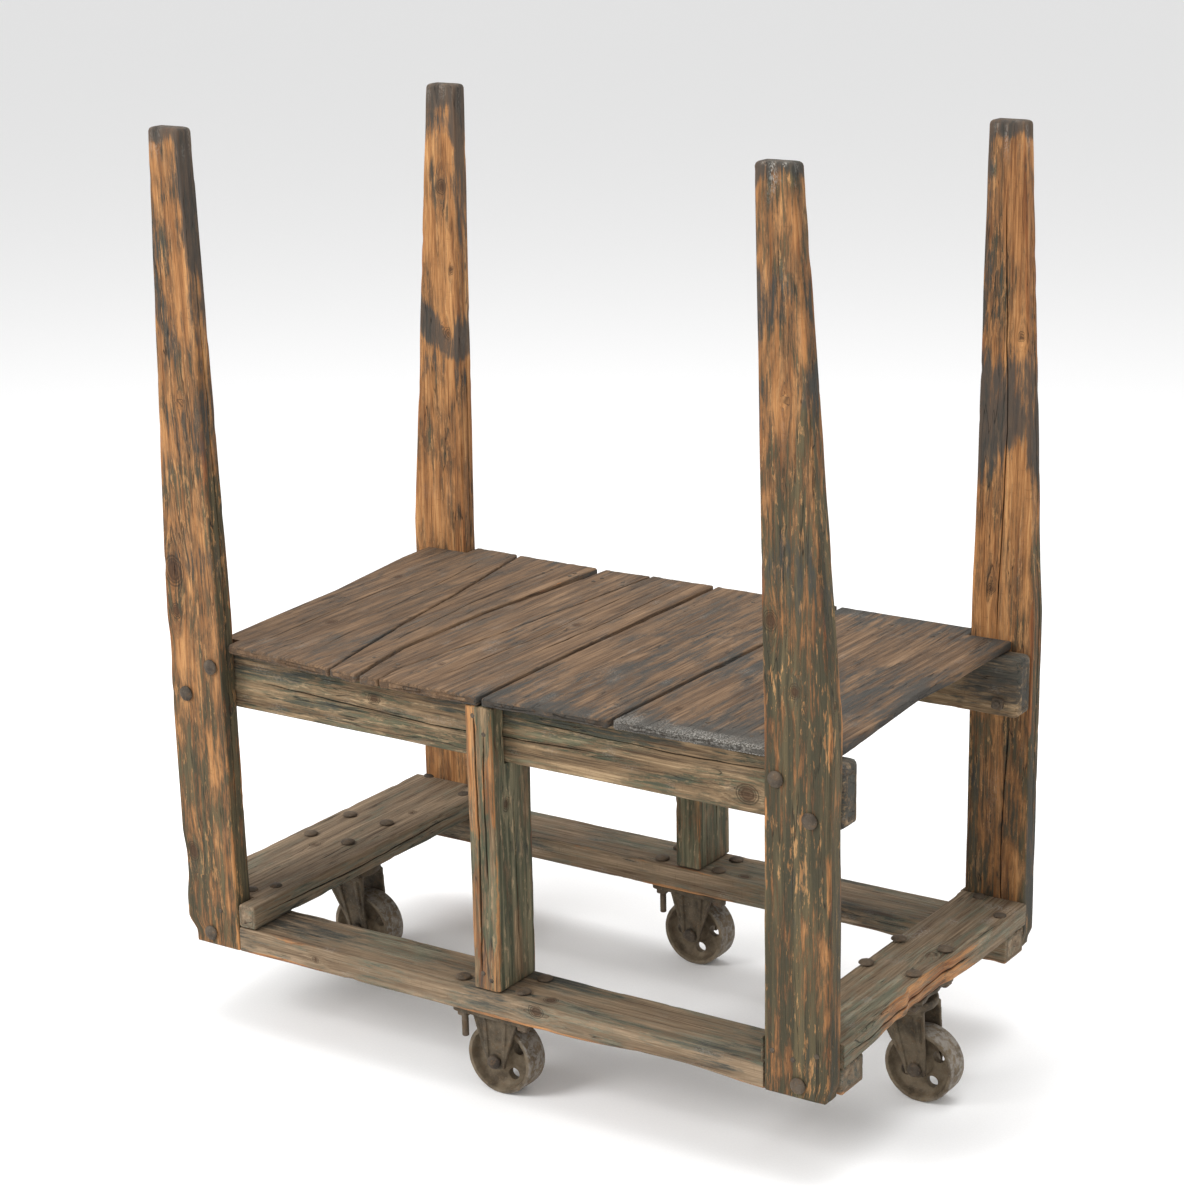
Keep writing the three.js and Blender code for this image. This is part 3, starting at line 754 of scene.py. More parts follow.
for name, side, seed in (("front", FRONT, 21), ("back", BACK, 22)):
    low, high = mm_box(f"top_rail_{name}")
    outward, inward = ("u0", "u1") if side == FRONT else ("u1", "u0")
    timber(f"top_rail_{name}", f"top_rail_{name}", "x", "yz",
           lambda s, a=low, b=high: (a[1], b[1], a[2], b[2]), "upper_frame_wood",
           **placed({"u": (X_LEFT, 0)},
                    [(outward, [(120, 520), (420, 508), (700, 515)], 1.2, 5),
                     (outward, [(560, 540), (800, 534), (1030, 540)], 1.0, 4),
                     (inward, [(200, 500), (600, 520), (900, 512)], 1.2, 5)],
                    [(outward, 905, 500, 15), (outward, 330, 528, 9), (inward, 700, 515, 11)]),
           end_round=(7.0, 9.0), edge=3.5, edge_wear=0.45,
           marks=rail_marks(0.38, 0.12, 0.2, seed + 50, shaded=0.75), seed=seed)

    low, high = mm_box(f"bottom_rail_{name}")

    def bottom_limits(s, a=low, b=high, side=side):
        inside = (s > NOTCH_ENDS[0]) & (s < NOTCH_ENDS[1])
        clear = np.where(inside, 0.0, NOTCH)
        scoop = 6.0 * smooth(-np.abs(s - across(800)), -150, -20)
        y0 = a[1] + (clear if side == FRONT else 0)
        y1 = b[1] - (clear if side == BACK else 0)
        return y0, y1, a[2] + scoop, b[2] + 0 * s
    timber(f"bottom_rail_{name}", f"bottom_rail_{name}", "x", "yz", bottom_limits,
           "base_frame_wood", steps=NOTCH_ENDS,
           **placed({"u": (X_LEFT, 0), "v": (X_LEFT, low[1])},
                    [(outward, [(150, 150), (360, 146), (520, 149)], 1.6, 6),
                     (outward, [(620, 140), (880, 150)], 1.0, 4),
                     ("v1", [(620, 42), (800, 55), (930, 52)], 1.4, 5),
                     ("v1", [(200, 30), (330, 38)], 1.2, 4)],
                    [(outward, 600, 150, 11), (outward, 230, 142, 6), ("v1", 610, 22, 10)]),
           edge=3.0, chips=5.0, rough=1.2, edge_wear=0.55,
           marks=rail_marks(0.3, 0.38, 0.25, seed + 60, 0.9), seed=seed + 5)

    low, high = mm_box(f"strut_{name}")
    lap_bottom = mm_box(f"top_rail_{name}")[0][2]

    def strut_limits(s, a=low, b=high, side=side, lap=lap_bottom):
        lapped = np.where(s > lap, b[1] - a[1] - POST_DEPTH + 0.3, 0.0)
        y0 = a[1] + (lapped if side == BACK else 0)
        y1 = b[1] - (lapped if side == FRONT else 0)
        return a[0], b[0], y0, y1

    def strut_marks(s, u, v, nu, nv, side=side, seed=seed):
        """The outer face is splintered down to orange wood; the sides keep their paint."""
        face_on = np.clip(nv * side, 0, 1)
        torn = smooth(noise(s / 90.0, u / 12.0, 0.5, seed + 70), -0.35, 0.25)
        grimy = noise(s / 70.0, u / 30.0, v / 30.0, seed + 71)
        return {"bare": 0.8 * face_on * torn, "paint": 0.74 - 0.1 * face_on,
                "soot": 0.22 + 0.16 * face_on + 0.3 * grimy}
    outer_face = "v0" if side == FRONT else "v1"
    timber(f"strut_{name}", f"strut_{name}", "z", "xy", strut_limits, "upper_frame_wood",
           steps=(lap_bottom,),
           **placed({"v": (0, low[0]), "u": (0, low[1])},
                    [(outer_face, [(180, 14), (350, 17), (556, 15)], 2.4, 9, 30),
                     (outer_face, [(300, 30), (440, 27), (540, 31)], 1.6, 6, 40),
                     (outer_face, [(168, 25), (240, 31)], 3.0, 9, 20),
                     ("u1", [(200, 50), (460, 44)], 1.4, 5)],
                    [("u1", 420, 30, 9)]),
           edge=3.0, chips=6.0, rough=1.6, marks=strut_marks, seed=seed + 9)


# ------------------------------------------------------------------- end beams
def beam_marks(side_name):
    low, high = mm_box(f"end_beam_{side_name}")
    outward = -1 if side_name == "left" else 1

    def marks(s, x, z, nx, nz):
        top = np.clip(nz, 0, 1)
        outer = np.clip(nx * outward, 0, 1)
        if side_name == "left":
            # painted shade: every face but the top gets extra soot and paint
            return {"paint": 0.02 + 0.4 * (1 - top), "soot": -0.1 * top + 0.4 * (1 - top),
                    "bare": 0.3 * outer, "pale": 0.1 * top}
        worn = smooth(-np.abs(s + 30), -190, -60)
        near_edge = smooth(outer + (x - low[0]) / (high[0] - low[0]), 0.9, 1.3)
        grimy = noise(s / 60.0, x / 30.0, 0.5, 91)
        # painted shade: every face but the top gets extra soot and paint
        return {"paint": 0.3 * top + 0.45 * (1 - top) - 0.2 * worn * outer,
                "soot": -0.08 + 0.12 * grimy + 0.32 * (1 - top),
                "bare": 0.85 * worn * near_edge,
                "pale": 0.55 * top * smooth(noise(s / 26.0, x / 20.0, 0.5, 92), 0.2, 0.8)}
    return marks


# Measured along the beam from its middle, then from the beam's middle on the top
# face and up from the floor on the right face
BEAM_LOOKS = {
    "left": {
        "cracks": [("v1", [(-235, 20), (-60, 12), (150, 18)], 1.4, 6),
                   ("v1", [(-200, -40), (20, -46)], 1.2, 5),
                   ("u1", [(-280, 182), (-60, 177), (180, 184)], 1.6, 6)],
        "knots": [("v1", -60, -12, 9), ("v1", 120, 30, 7)],
        "chips": 5.5, "rough": 1.1, "seed": 31,
    },
    "right": {
        "cracks": [("v1", [(-270, 6), (-120, 22), (40, 34)], 2.6, 9, 40),
                   ("v1", [(-180, -16), (60, -6), (250, -12)], 1.6, 6),
                   ("v1", [(60, 10), (170, 16), (255, 8)], 2.4, 8, 30),
                   ("u1", [(-250, 180), (-100, 176), (110, 184)], 2.2, 8)],
        "knots": [("v1", 40, 20, 12), ("v1", -150, -30, 8)],
        "chips": 8.0, "rough": 1.7, "seed": 32,
    },
}
INNER_Y = Y_BACK - NOTCH
for side_name, look in BEAM_LOOKS.items():
    low, high = mm_box(f"end_beam_{side_name}")
    tongue = NOTCH_ENDS[0 if side_name == "left" else 1]

    def beam_limits(s, a=low, b=high, side_name=side_name, tongue=tongue):
        beside = np.abs(s) > INNER_Y
        if side_name == "left":
            return np.where(beside, tongue, a[0]), b[0] + 0 * s, a[2] + 0 * s, b[2] + 0 * s
        # The outer lower edge is worn hollow over the caster
        ragged = 1 + 0.5 * noise(s / 22.0, 0.5, 0.5, 95)
        lost = 9.0 * smooth(-np.abs(s + 40), -170, -30) * ragged
        return a[0] + 0 * s, np.where(beside, tongue, b[0] - lost), a[2] + 0 * s, b[2] + 0 * s
    timber(f"end_beam_{side_name}", f"end_beam_{side_name}", "y", "xz", beam_limits,
           "base_frame_wood", steps=(-INNER_Y, INNER_Y),
           **placed({"v": (0, (low[0] + high[0]) / 2), "u": (0, 0)},
                    look["cracks"], look["knots"]),
           edge=3.5, chips=look["chips"], rough=look["rough"], edge_wear=0.45,
           marks=beam_marks(side_name), seed=look["seed"])


# ------------------------------------------------------------------------ deck
# Each strip of deck, measured in from the front plane and along the cart from the
# left posts' outer face: its plank, its left and right edges as (x, depth), how
# far each side of its front end stands back, how far its surface sits below the
# highest, how sooty it is, and its cracks and knots.
STRIPS = {
    "1_outer": {
        "plank": 1, "left": [(71, 0), (66, 80), (52, 300), (26, 490), (22, 600)],
        "right": [(283, 0), (240, 211), (215, 371), (170, 600)],
        "front": (12, -6), "sunk": 0.0, "soot": 0.12,
        "cracks": [("v1", [(30, 130), (220, 118), (420, 112)], 1.3, 5),
                   ("v1", [(250, 180), (430, 160), (560, 140)], 1.2, 4),
                   ("v1", [(60, 215), (180, 200)], 1.2, 4)],
        "knots": [("v1", 170, 150, 9), ("v1", 400, 90, 7)],
    },
    "1_inner": {
        "plank": 1, "left": [(285.5, 0), (243, 211), (218.5, 371), (174, 600)],
        "right": [(329.5, 0), (307, 120), (304, 306), (315, 500), (317, 600)],
        "front": (-6, -8), "sunk": 0.6, "soot": 0.12,
        "cracks": [("v1", [(120, 283), (360, 262), (560, 262)], 1.3, 4)], "knots": [],
    },
    "2_left": {
        "plank": 2, "left": [(336, 0), (313, 120), (309.5, 306), (326, 500), (330, 600)],
        "right": [(366, 0), (361, 52), (386, 257), (409, 600)],
        "front": (-8, -7), "sunk": 1.2, "soot": 0.02, "cracks": [], "knots": [],
    },
    "2_right": {
        "plank": 2, "left": [(368, 0), (363.5, 52), (389, 257), (412, 600)],
        "right": [(524.5, 0), (519, 248), (518, 600)],
        "front": (-7, -6), "sunk": 0.0, "soot": 0.06,
        "cracks": [("v1", [(40, 430), (240, 442), (500, 436)], 1.2, 4),
                   ("v1", [(180, 480), (400, 486), (570, 480)], 1.4, 5)],
        "knots": [("v1", 330, 455, 8), ("v1", 90, 400, 6)],
    },
    "3": {
        "plank": 3, "left": [(529.5, 0), (524.5, 248), (525, 600)],
        "right": [(718.5, 0), (720.5, 372), (723, 600)],
        "front": (-4, 4), "sunk": 0.4, "soot": 0.42,
        "cracks": [("v1", [(2, 614), (20, 609), (48, 604)], 3.2, 9, 12),
                   ("v1", [(280, 694), (350, 690), (440, 688)], 2.4, 8, 30),
                   ("v1", [(90, 560), (300, 572), (480, 566)], 1.1, 4),
                   ("v1", [(200, 640), (330, 648), (540, 640)], 1.2, 4)],
        "knots": [("v1", 150, 600, 9), ("v1", 420, 660, 8)],
    },
    "4": {
        "plank": 4, "left": [(723.5, 0), (726, 372), (729.5, 600)],
        "right": [(1018, 0), (1021, 70), (1016, 130), (1009, 220), (1003, 300),
                  (1009, 400), (1007, 500), (1011, 600)],
        "front": (6, 12), "sunk": 1.0, "soot": 0.62,
        "cracks": [("v1", [(60, 800), (260, 812), (480, 806)], 1.2, 4),
                   ("v1", [(180, 890), (380, 880), (560, 884)], 1.3, 4),
                   ("v1", [(30, 950), (190, 940), (330, 946)], 1.4, 5),
                   ("v1", [(300, 760), (520, 766)], 1.1, 4)],
        "knots": [("v1", 240, 850, 11), ("v1", 470, 930, 8), ("v1", 90, 770, 6)],
    },
}


def strip_edges(look):
    """Both side edges of a strip, as functions of the place across the cart."""
    def edge(points):
        x, depth = zip(*points)
        return lambda s: across(np.interp(s - Y_FRONT, depth, x))
    return edge(look["left"]), edge(look["right"])


def strip_bow(look):
    """Front ends run askew, and both ends are ragged."""
    low, high = mm_box(f"deck_plank_{look['plank']}")
    left, right = strip_edges(look)
    stand_left, stand_right = look["front"]

    def bow(s, x, z):
        moved = np.zeros((*s.shape, 3))
        share = np.clip((x - left(s)) / (right(s) - left(s)), 0, 1)
        target = Y_FRONT + stand_left + (stand_right - stand_left) * share
        ragged = (2.0 * (1 + noise(x / 9.0, 0.5, 0.5, 201))
                  + 1.0 * (1 + noise(x / 3.5, 0.5, 0.5, 202)))
        near_front = smooth(-(s - low[1]), -60, -1)
        moved[..., 1] += near_front * (target - low[1] + ragged)
        near_back = smooth(s, high[1] - 40, high[1] - 1)
        moved[..., 1] -= near_back * 1.6 * (1 + noise(x / 7.0, 1.5, 0.5, 203))
        moved[..., 2] -= 0.9 * (1 + noise(x / 60.0, s / 160.0, 0.5, 204)) * (z > DECK_TOP - 8)
        return moved
    return bow


def deck_marks(strip, soot):
    """Trodden grey timber, darker on faces that do not face up and towards the front
    end; the front edge of plank 4 is pale.
    """
    def marks(s, x, z, nx, nz):
        depth = s - Y_FRONT
        out = {"soot": soot + 0.5 * noise(x / 120.0, s / 170.0, 0.5, 211)
               + 0.25 * smooth(-depth, -60, 0) + 0.2 * (1 - np.clip(nz, 0, 1)),
               "paint": 0.12 + 0.22 * noise(x / 60.0, s / 200.0, 2.5, 212),
               "pale": 0.22 * smooth(noise(x / 16.0, s / 30.0, 0.5, 213), 0.35, 0.9)}
        if strip == "4":
            scuffed = smooth(noise(x / 22.0, s / 16.0, 0.5, 214), -0.5, 0.4)
            out["pale"] = out["pale"] + 0.9 * smooth(-depth, -70, 4) * scuffed
            out["soot"] = out["soot"] + 0.35 * smooth(-depth, -110, 0)
        return out
    return marks


for number, (strip, look) in enumerate(STRIPS.items()):
    low, high = mm_box(f"deck_plank_{look['plank']}")

    def strip_limits(s, a=low, b=high, look=look):
        left, right = strip_edges(look)
        x0, x1 = left(s), right(s)
        # Planks 1 and 4 are notched round the posts at their ends
        ends = np.abs(s) > INNER_Y
        if look["plank"] == 1:
            x0 = np.where(ends, np.maximum(x0, X_LEFT + POST_WIDTH + 1.4), x0)
        if look["plank"] == 4:
            x1 = np.where(ends, np.minimum(x1, X_RIGHT - POST_WIDTH - 1.4), x1)
        return x0, x1, a[2] + 0 * s, b[2] - look["sunk"] + 0 * s
    timber(f"deck_plank_{strip}", f"deck_plank_{look['plank']}", "y", "xz", strip_limits,
           "deck_wood", steps=(-INNER_Y, INNER_Y) if strip in ("1_outer", "4") else (),
           **placed({"v": (Y_FRONT, X_LEFT)}, look["cracks"], look["knots"]),
           spacing=4.5, edge_wear=0.35, end_round=(3.0, 2.0), chips=3.0, rough=0.8,
           bow=strip_bow(look), marks=deck_marks(strip, look["soot"]), seed=61 + number)


# ------------------------------------------------------------------- ironwork
def joined(parts):
    """Several (points, faces) as one."""
    points, faces, base = [], [], 0
    for some_points, some_faces in parts:
        points.append(np.asarray(some_points, float))
        faces.extend([[base + i for i in face] for face in some_faces])
        base += len(some_points)
    return np.concatenate(points), faces


def lathe(profile, segments=40, loop=False):
    """A turned shape about +Z from (radius, height) pairs; loop closes the profile."""
    points, rings = [], []
    for radius, height in profile:
        if radius == 0:
            rings.append([len(points)] * segments)
            points.append((0, 0, height))
            continue
        rings.append(list(range(len(points), len(points) + segments)))
        for k in range(segments):
            angle = 2 * math.pi * k / segments
            points.append((radius * math.cos(angle), radius * math.sin(angle), height))
    pairs = list(zip(rings[:-1], rings[1:])) + ([(rings[-1], rings[0])] if loop else [])
    faces = []
    for low, high in pairs:
        for k in range(segments):
            m = (k + 1) % segments
            face = list(dict.fromkeys((low[k], low[m], high[m], high[k])))
            if len(face) > 2:
                faces.append(face)
    return np.array(points, float), faces


def prism(outline, z0, z1, bevel=0.8):
    """An outline in (x, y) raised from z0 to z1 with softened rims."""
    outline = np.array(outline, float)
    centre = outline.mean(0)
    reach = np.linalg.norm(outline - centre, axis=1, keepdims=True)
    inner = outline - (outline - centre) / np.maximum(reach, 1e-6) * bevel
    n = len(outline)
    levels = [(inner, z0), (outline, z0 + bevel), (outline, z1 - bevel), (inner, z1)]
    points = np.concatenate([np.column_stack([ring, np.full(n, z)]) for ring, z in levels])
    faces = [list(range(n))[::-1], list(range(3 * n, 4 * n))]
    for k in range(3):
        for i in range(n):
            j = (i + 1) % n
            faces.append([k * n + i, k * n + j, (k + 1) * n + j, (k + 1) * n + i])
    return points, faces


def turned_to(part, direction, origin):
    """Carries a +Z shape so that it points along direction from origin."""
    points, faces = part
    turn = Vector((0, 0, 1)).rotation_difference(Vector(direction)).to_matrix()
    return np.asarray(points) @ np.array(turn).T + np.asarray(origin, float), faces


def pitted(points, amount, seed, pitch=6.0):
    """Uneven cast skin: every point moves a little along smooth noise."""
    moved = np.array(points, float)
    for k in range(3):
        moved[:, k] += amount * noise(*(points[:, i] / pitch for i in range(3)), seed + k)
    return moved


def baked(piece):
    """A new mesh with the piece's modifiers applied."""
    graph = bpy.context.evaluated_depsgraph_get()
    return bpy.data.meshes.new_from_object(piece.evaluated_get(graph))


def get_points(mesh):
    co = np.zeros(len(mesh.vertices) * 3)
    mesh.vertices.foreach_get("co", co)
    return co.reshape(-1, 3) / MM


def put_points(mesh, points):
    mesh.vertices.foreach_set("co", (points * MM).ravel())


def cast(name, parts, voxel=1.1, seed=1):
    """Overlapping shapes fused into one casting with filleted corners."""
    points, faces = joined(parts)
    piece = make_object(name, points, faces, caster_iron)
    remesh = piece.modifiers.new("fuse", "REMESH")
    remesh.mode = "VOXEL"
    remesh.voxel_size = voxel * MM
    relax = piece.modifiers.new("soften", "SMOOTH")
    relax.iterations = 3
    relax.factor = 0.5
    made = baked(piece)
    piece.modifiers.clear()
    piece.data = made
    put_points(made, pitted(get_points(made), 0.22, seed))
    made.shade_smooth()
    if not made.materials:
        made.materials.append(caster_iron)
    return piece


def copy_of(mesh, name, offset, turn=0.0):
    """Another of the same casting, turned about Y by turn degrees and moved by
    offset in millimetres."""
    mesh = mesh.copy()
    mesh.transform(Matrix.Translation(Vector(offset) * MM)
                   @ Matrix.Rotation(math.radians(turn), 4, "Y"))
    return link(bpy.data.objects.new(name, mesh))


def slab_sides(side, near, far):
    """Two distances to one side of the middle, in rising order."""
    return sorted((side * near, side * far))


WHEEL_RADIUS = 50.8
LEG_INNER = 21.5
LEG_OUTER = 28.0
HEAD_RADIUS = 10.8
HEAD_HEIGHT = 5.0
NUT_HALF = 8.0
NUT_HEIGHT = 8.0
NUT_CORNER = 1.6
SHANK_RADIUS = 4.8
THREAD_PITCH = 1.5
GAP = 0.3


def square_nut(height=NUT_HEIGHT, half=NUT_HALF, turn=0.0):
    outline = []
    reach = half * math.sqrt(2) - NUT_CORNER
    for k in range(4):
        for side in (-1, 1):
            angle = math.radians(45 + 90 * k) + turn
            c, s = math.cos(angle), math.sin(angle)
            outline.append((reach * c - side * NUT_CORNER * s * 0.8,
                            reach * s + side * NUT_CORNER * c * 0.8))
    return prism(outline, 0, height, 0.9)


def bolt_parts(grip, tail, seed):
    """A carriage bolt along +Z, head at the origin and shank going down."""
    dome = [(HEAD_RADIUS * math.cos(a), 1.2 + (HEAD_HEIGHT - 1.4) * math.sin(a))
            for a in np.radians((15, 30, 45, 60, 75))]
    head = lathe([(0, GAP), (HEAD_RADIUS - 0.6, GAP), (HEAD_RADIUS, 0.9), *dome,
                  (0, HEAD_HEIGHT - 0.2)], 28)
    head = (pitted(head[0], 0.18, seed, 4.0), head[1])
    end = -(grip + NUT_HEIGHT + tail)
    shank = lathe([(0, end), (SHANK_RADIUS - 1, end), (SHANK_RADIUS - 0.2, end + 0.8),
                   (SHANK_RADIUS - 0.2, 2.0), (0, 2.0)], 16)
    threads = []
    z = end + 1.2
    while z < -grip - 1.0:
        threads.append(lathe([(3.2, z), (SHANK_RADIUS, z + 0.5), (3.2, z + 1.0)], 16, True))
        z += THREAD_PITCH
    nut = square_nut(turn=0.15 * math.sin(seed))
    nut = (nut[0] + (0, 0, -(grip + GAP + NUT_HEIGHT)), nut[1])
    return [head, shank, nut, *threads]


def carriage_bolt(node, outward, tail, seed, iron):
    """One bolt as long as its node, its head on the side that outward points to."""
    low, high = mm_box(node)
    outward = np.array(outward)
    middle, half = (low + high) / 2, (high - low) / 2
    head = middle + outward * (half - HEAD_HEIGHT)
    grip = 2 * float(np.abs(outward) @ half) - HEAD_HEIGHT - NUT_HEIGHT - GAP - tail
    points, faces = turned_to(joined(bolt_parts(grip, tail - 0.3, seed)), outward, head)
    piece = make_object(f"{node}_iron", points, faces, iron, sharp=35)
    stand_for(piece, node, "frame")


bolts = [(f"bolt_{name}_{kind}", (0, FRONT if "front" in name else BACK, 0), 5.0, bolt_iron)
         for name in POSTS for kind in ("upper", "lower", "foot")]
bolts += [(f"{group}_caster_bolt_{k}", (0, 0, 1),
           32.0 if group in ("front", "back") and k == 1 else 4.0, dusty_iron)
          for group in ("front", "back", "left", "right") for k in range(1, 5)]
for number, (node, outward, tail, iron) in enumerate(bolts):
    carriage_bolt(node, outward, tail, 300 + number, iron)


def wheel_piece():
    """One cast wheel about the origin, axis along Y: flat tread, dished web with holes."""
    rim = WHEEL_RADIUS - 7.0
    half = [(6.5, 20.3), (12.5, 20.3), (14.3, 19.6), (15.0, 18.0), (16.2, 10.0),
            (18.0, 6.6), (21.0, 5.1), (30.0, 4.6), (37.5, 5.2), (41.0, 7.4), (43.0, 11.0),
            (rim + 0.4, 17.6), (rim + 1.4, 18.8), (49.0, 18.9), (50.2, 18.2), (50.75, 16.8),
            (WHEEL_RADIUS, 12.0), (WHEEL_RADIUS, 6.0), (WHEEL_RADIUS, 0.0)]
    mirrored = [(r, -h) for r, h in half[-2::-1]]
    points, faces = lathe([*half, *mirrored], 112, loop=True)
    wheel = make_object("wheel_blank", points, faces, wheel_iron)
    drills = []
    for k in range(4):
        angle = (k + 0.35) / 4 * 2 * math.pi
        drill = lathe([(0, -30), (8.6, -30), (8.6, 30), (0, 30)], 32)
        drills.append((drill[0] + (28 * math.cos(angle), 28 * math.sin(angle), 0), drill[1]))
    drill = make_object("wheel_drill", *joined(drills), wheel_iron)
    cut = wheel.modifiers.new("holes", "BOOLEAN")
    cut.operation = "DIFFERENCE"
    cut.object = drill
    made = baked(wheel)
    for spare in (wheel, drill):
        bpy.data.objects.remove(spare)
    made.transform(Matrix.Rotation(math.radians(90), 4, "X"))
    co = get_points(made)
    radius = np.hypot(co[:, 0], co[:, 2])
    polish = smooth(radius, WHEEL_RADIUS - 2.2, WHEEL_RADIUS - 0.8)
    worn = 0.28 * (1 + noise(*(co[:, i] / 5 for i in range(3)), 401)) * smooth(radius, 20, 30)
    for i in (0, 2):
        co[:, i] *= 1 - worn / np.maximum(radius, 1)
    put_points(made, co)
    layer = made.attributes.new("polish", "FLOAT", "POINT")
    layer.data.foreach_set("value", polish.astype(np.float32))
    made.shade_smooth()
    made.set_sharp_from_angle(angle=math.radians(38))
    return made


def leg_shapes(top_z, top_half, axle_z, lean, side):
    """One leg of a horn or fork: thin V web, rims, two ribs beside the axle, a boss.
    lean is how far the top's middle is from the axle, along X."""
    face_in, web_out = side * LEG_INNER, side * (LEG_INNER + 3.4)
    rib_out = side * LEG_OUTER

    def slab(outline, y0, y1, bevel=0.5):
        points, faces = prism(outline, *sorted((y0, y1)), bevel)
        return np.column_stack([points[:, 0], points[:, 2], points[:, 1]]), faces

    def rib(a, b, width, y_out, narrow=1.0):
        a, b = np.array(a), np.array(b)
        run = b - a
        half = np.array([-run[1], run[0]]) / np.linalg.norm(run) * width / 2
        return slab([a + half, a - half, b - half * narrow, b + half * narrow],
                    face_in, y_out, 0.9)
    left_top, right_top = lean - top_half, lean + top_half
    turn = [(13.5 * math.cos(t), axle_z + 13.5 * math.sin(t))
            for t in np.radians(range(190, 351, 20))]
    web = slab([(left_top, top_z), *turn, (right_top, top_z)], face_in, web_out)
    rim_out = side * (LEG_INNER + 5.2)
    rims = [rib((left_top + 2, top_z), (-13.0, axle_z - 1), 4.0, rim_out),
            rib((right_top - 2, top_z), (13.0, axle_z - 1), 4.0, rim_out)]
    ribs = [rib((lean * 0.75 + hand * 17, top_z), (hand * 12.0, axle_z - 9), 6.5, rib_out, 0.7)
            for hand in (-1, 1)]
    points, faces = lathe([(0, 0), (11.5, 0), (11.5, 4.6), (0, 4.6)], 28)
    boss = np.column_stack([points[:, 0], side * (LEG_INNER + points[:, 2]),
                            axle_z + points[:, 1]])
    return [web, *rims, *ribs, (boss, faces)]


def rounded_box(x0, x1, y0, y1, z0, z1, corner):
    outline = []
    for cx, cy, start in ((x1 - corner, y1 - corner, 0), (x0 + corner, y1 - corner, 90),
                          (x0 + corner, y0 + corner, 180), (x1 - corner, y0 + corner, 270)):
        for step in range(0, 91, 15):
            angle = math.radians(start + step)
            outline.append((cx + corner * math.cos(angle), cy + corner * math.sin(angle)))
    return prism(outline, z0, z1, 0.8)


def build_axle(name, body):
    """A domed head on the front side, a plain shank, and a square nut behind."""
    low, high = mm_box(f"{name}_axle")
    x, z = (low[0] + high[0]) / 2, (low[2] + high[2]) / 2
    start, end = low[1], high[1]
    length = end - start - 4
    dome = [(9.8 * math.cos(a), 2.6 + 4.0 * math.sin(a))
            for a in np.radians((0, 20, 40, 60, 75))]
    head = lathe([(0, 0), (9.0, 0), (9.8, 0.8), *dome, (0, 6.6)], 32)
    head = (pitted(head[0], 0.2, len(name), 4), head[1])
    head = turned_to(head, (0, -1, 0), (x, start + 6.7, z))
    shank = lathe([(0, 0), (6, 0), (6, length), (5.2, length + 0.8), (0, length + 0.8)], 24)
    shank = turned_to(shank, (0, 1, 0), (x, start + 3, z))
    nut = square_nut(7.5, 8.8, 0.3)
    nut = turned_to(nut, (0, 1, 0), (x, end - 10.7, z))
    piece = make_object(f"{name}_axle_iron", *joined([head, shank, nut]), bolt_iron, sharp=35)
    stand_for(piece, f"{name}_axle", body)


wheel_mesh = wheel_piece()
for name, axle_body, turn in (("front", "frame", 0), ("back", "frame", 24),
                              ("left", "left_swivel", 8), ("right", "right_swivel", 0)):
    low, high = mm_box(f"{name}_wheel")
    wheel = copy_of(wheel_mesh, f"{name}_wheel_iron", (low + high) / 2, turn)
    stand_for(wheel, f"{name}_wheel", f"{name}_wheel")
    build_axle(name, axle_body)

# Rigid casters
low, high = mm_box("front_caster_horn")
half_x, half_y = ((high - low) / 2 - 0.3)[:2]
horn_parts = [rounded_box(-half_x, half_x, -half_y, half_y, high[2] - 7, high[2], 9)]
for side in (-1, 1):
    horn_parts += leg_shapes(high[2] - 5, 37.5, WHEEL_RADIUS, 0, side)
    horn_parts.append(rounded_box(-38, 38, *slab_sides(side, 19.5, 30),
                                  high[2] - 10.5, high[2] - 5, 4))
horn = cast("horn_blank", horn_parts, seed=410)
for name in ("front", "back"):
    low, high = mm_box(f"{name}_caster_horn")
    piece = copy_of(horn.data, f"{name}_caster_horn_iron", (*((low + high) / 2)[:2], 0))
    stand_for(piece, f"{name}_caster_horn", "frame")
bpy.data.objects.remove(horn)

# Swivel casters: a stepped plate with its race on the beam, the fork below
plate_low, plate_high = mm_box("left_swivel_plate")
half = (plate_high - plate_low) / 2 - 0.3
plate_top = plate_high[2]
race_bottom = plate_low[2] - plate_top
crown_top = mm_box("left_swivel_fork")[1][2]
TRAIL = 30.0


def scalloped(half_x, half_y, dip, corner):
    """A plate outline whose sides curve in between the bolt corners."""
    rising = np.linspace(-1, 1, 15)[:-1]
    falling = -rising
    long_x, long_y = half_x - corner, half_y - corner
    return [
        *((half_x - dip * (1 - t**4) * (1 - 0.35 * math.cos(9 * t)), t * long_y) for t in rising),
        *((t * long_x, half_y - 0.5 * dip * (1 - t**4)) for t in falling),
        *((-half_x + dip * (1 - t**4), t * long_y) for t in falling),
        *((t * long_x, -half_y + 0.5 * dip * (1 - t**4)) for t in rising)]


race = lathe([(0, race_bottom + 0.2), (34, race_bottom + 0.2), (36.5, race_bottom + 1.6),
              (38, race_bottom + 5), (41.6, -8.5), (42, -5), (42, -3), (0, -3)], 64)
swivel_plate = cast("plate_blank", [
    prism(scalloped(half[0], half[1], 4.5, 7), plate_top - 7, plate_top, 0.9),
    (race[0] + (0, 0, plate_top), race[1])], voxel=1.2, seed=420)

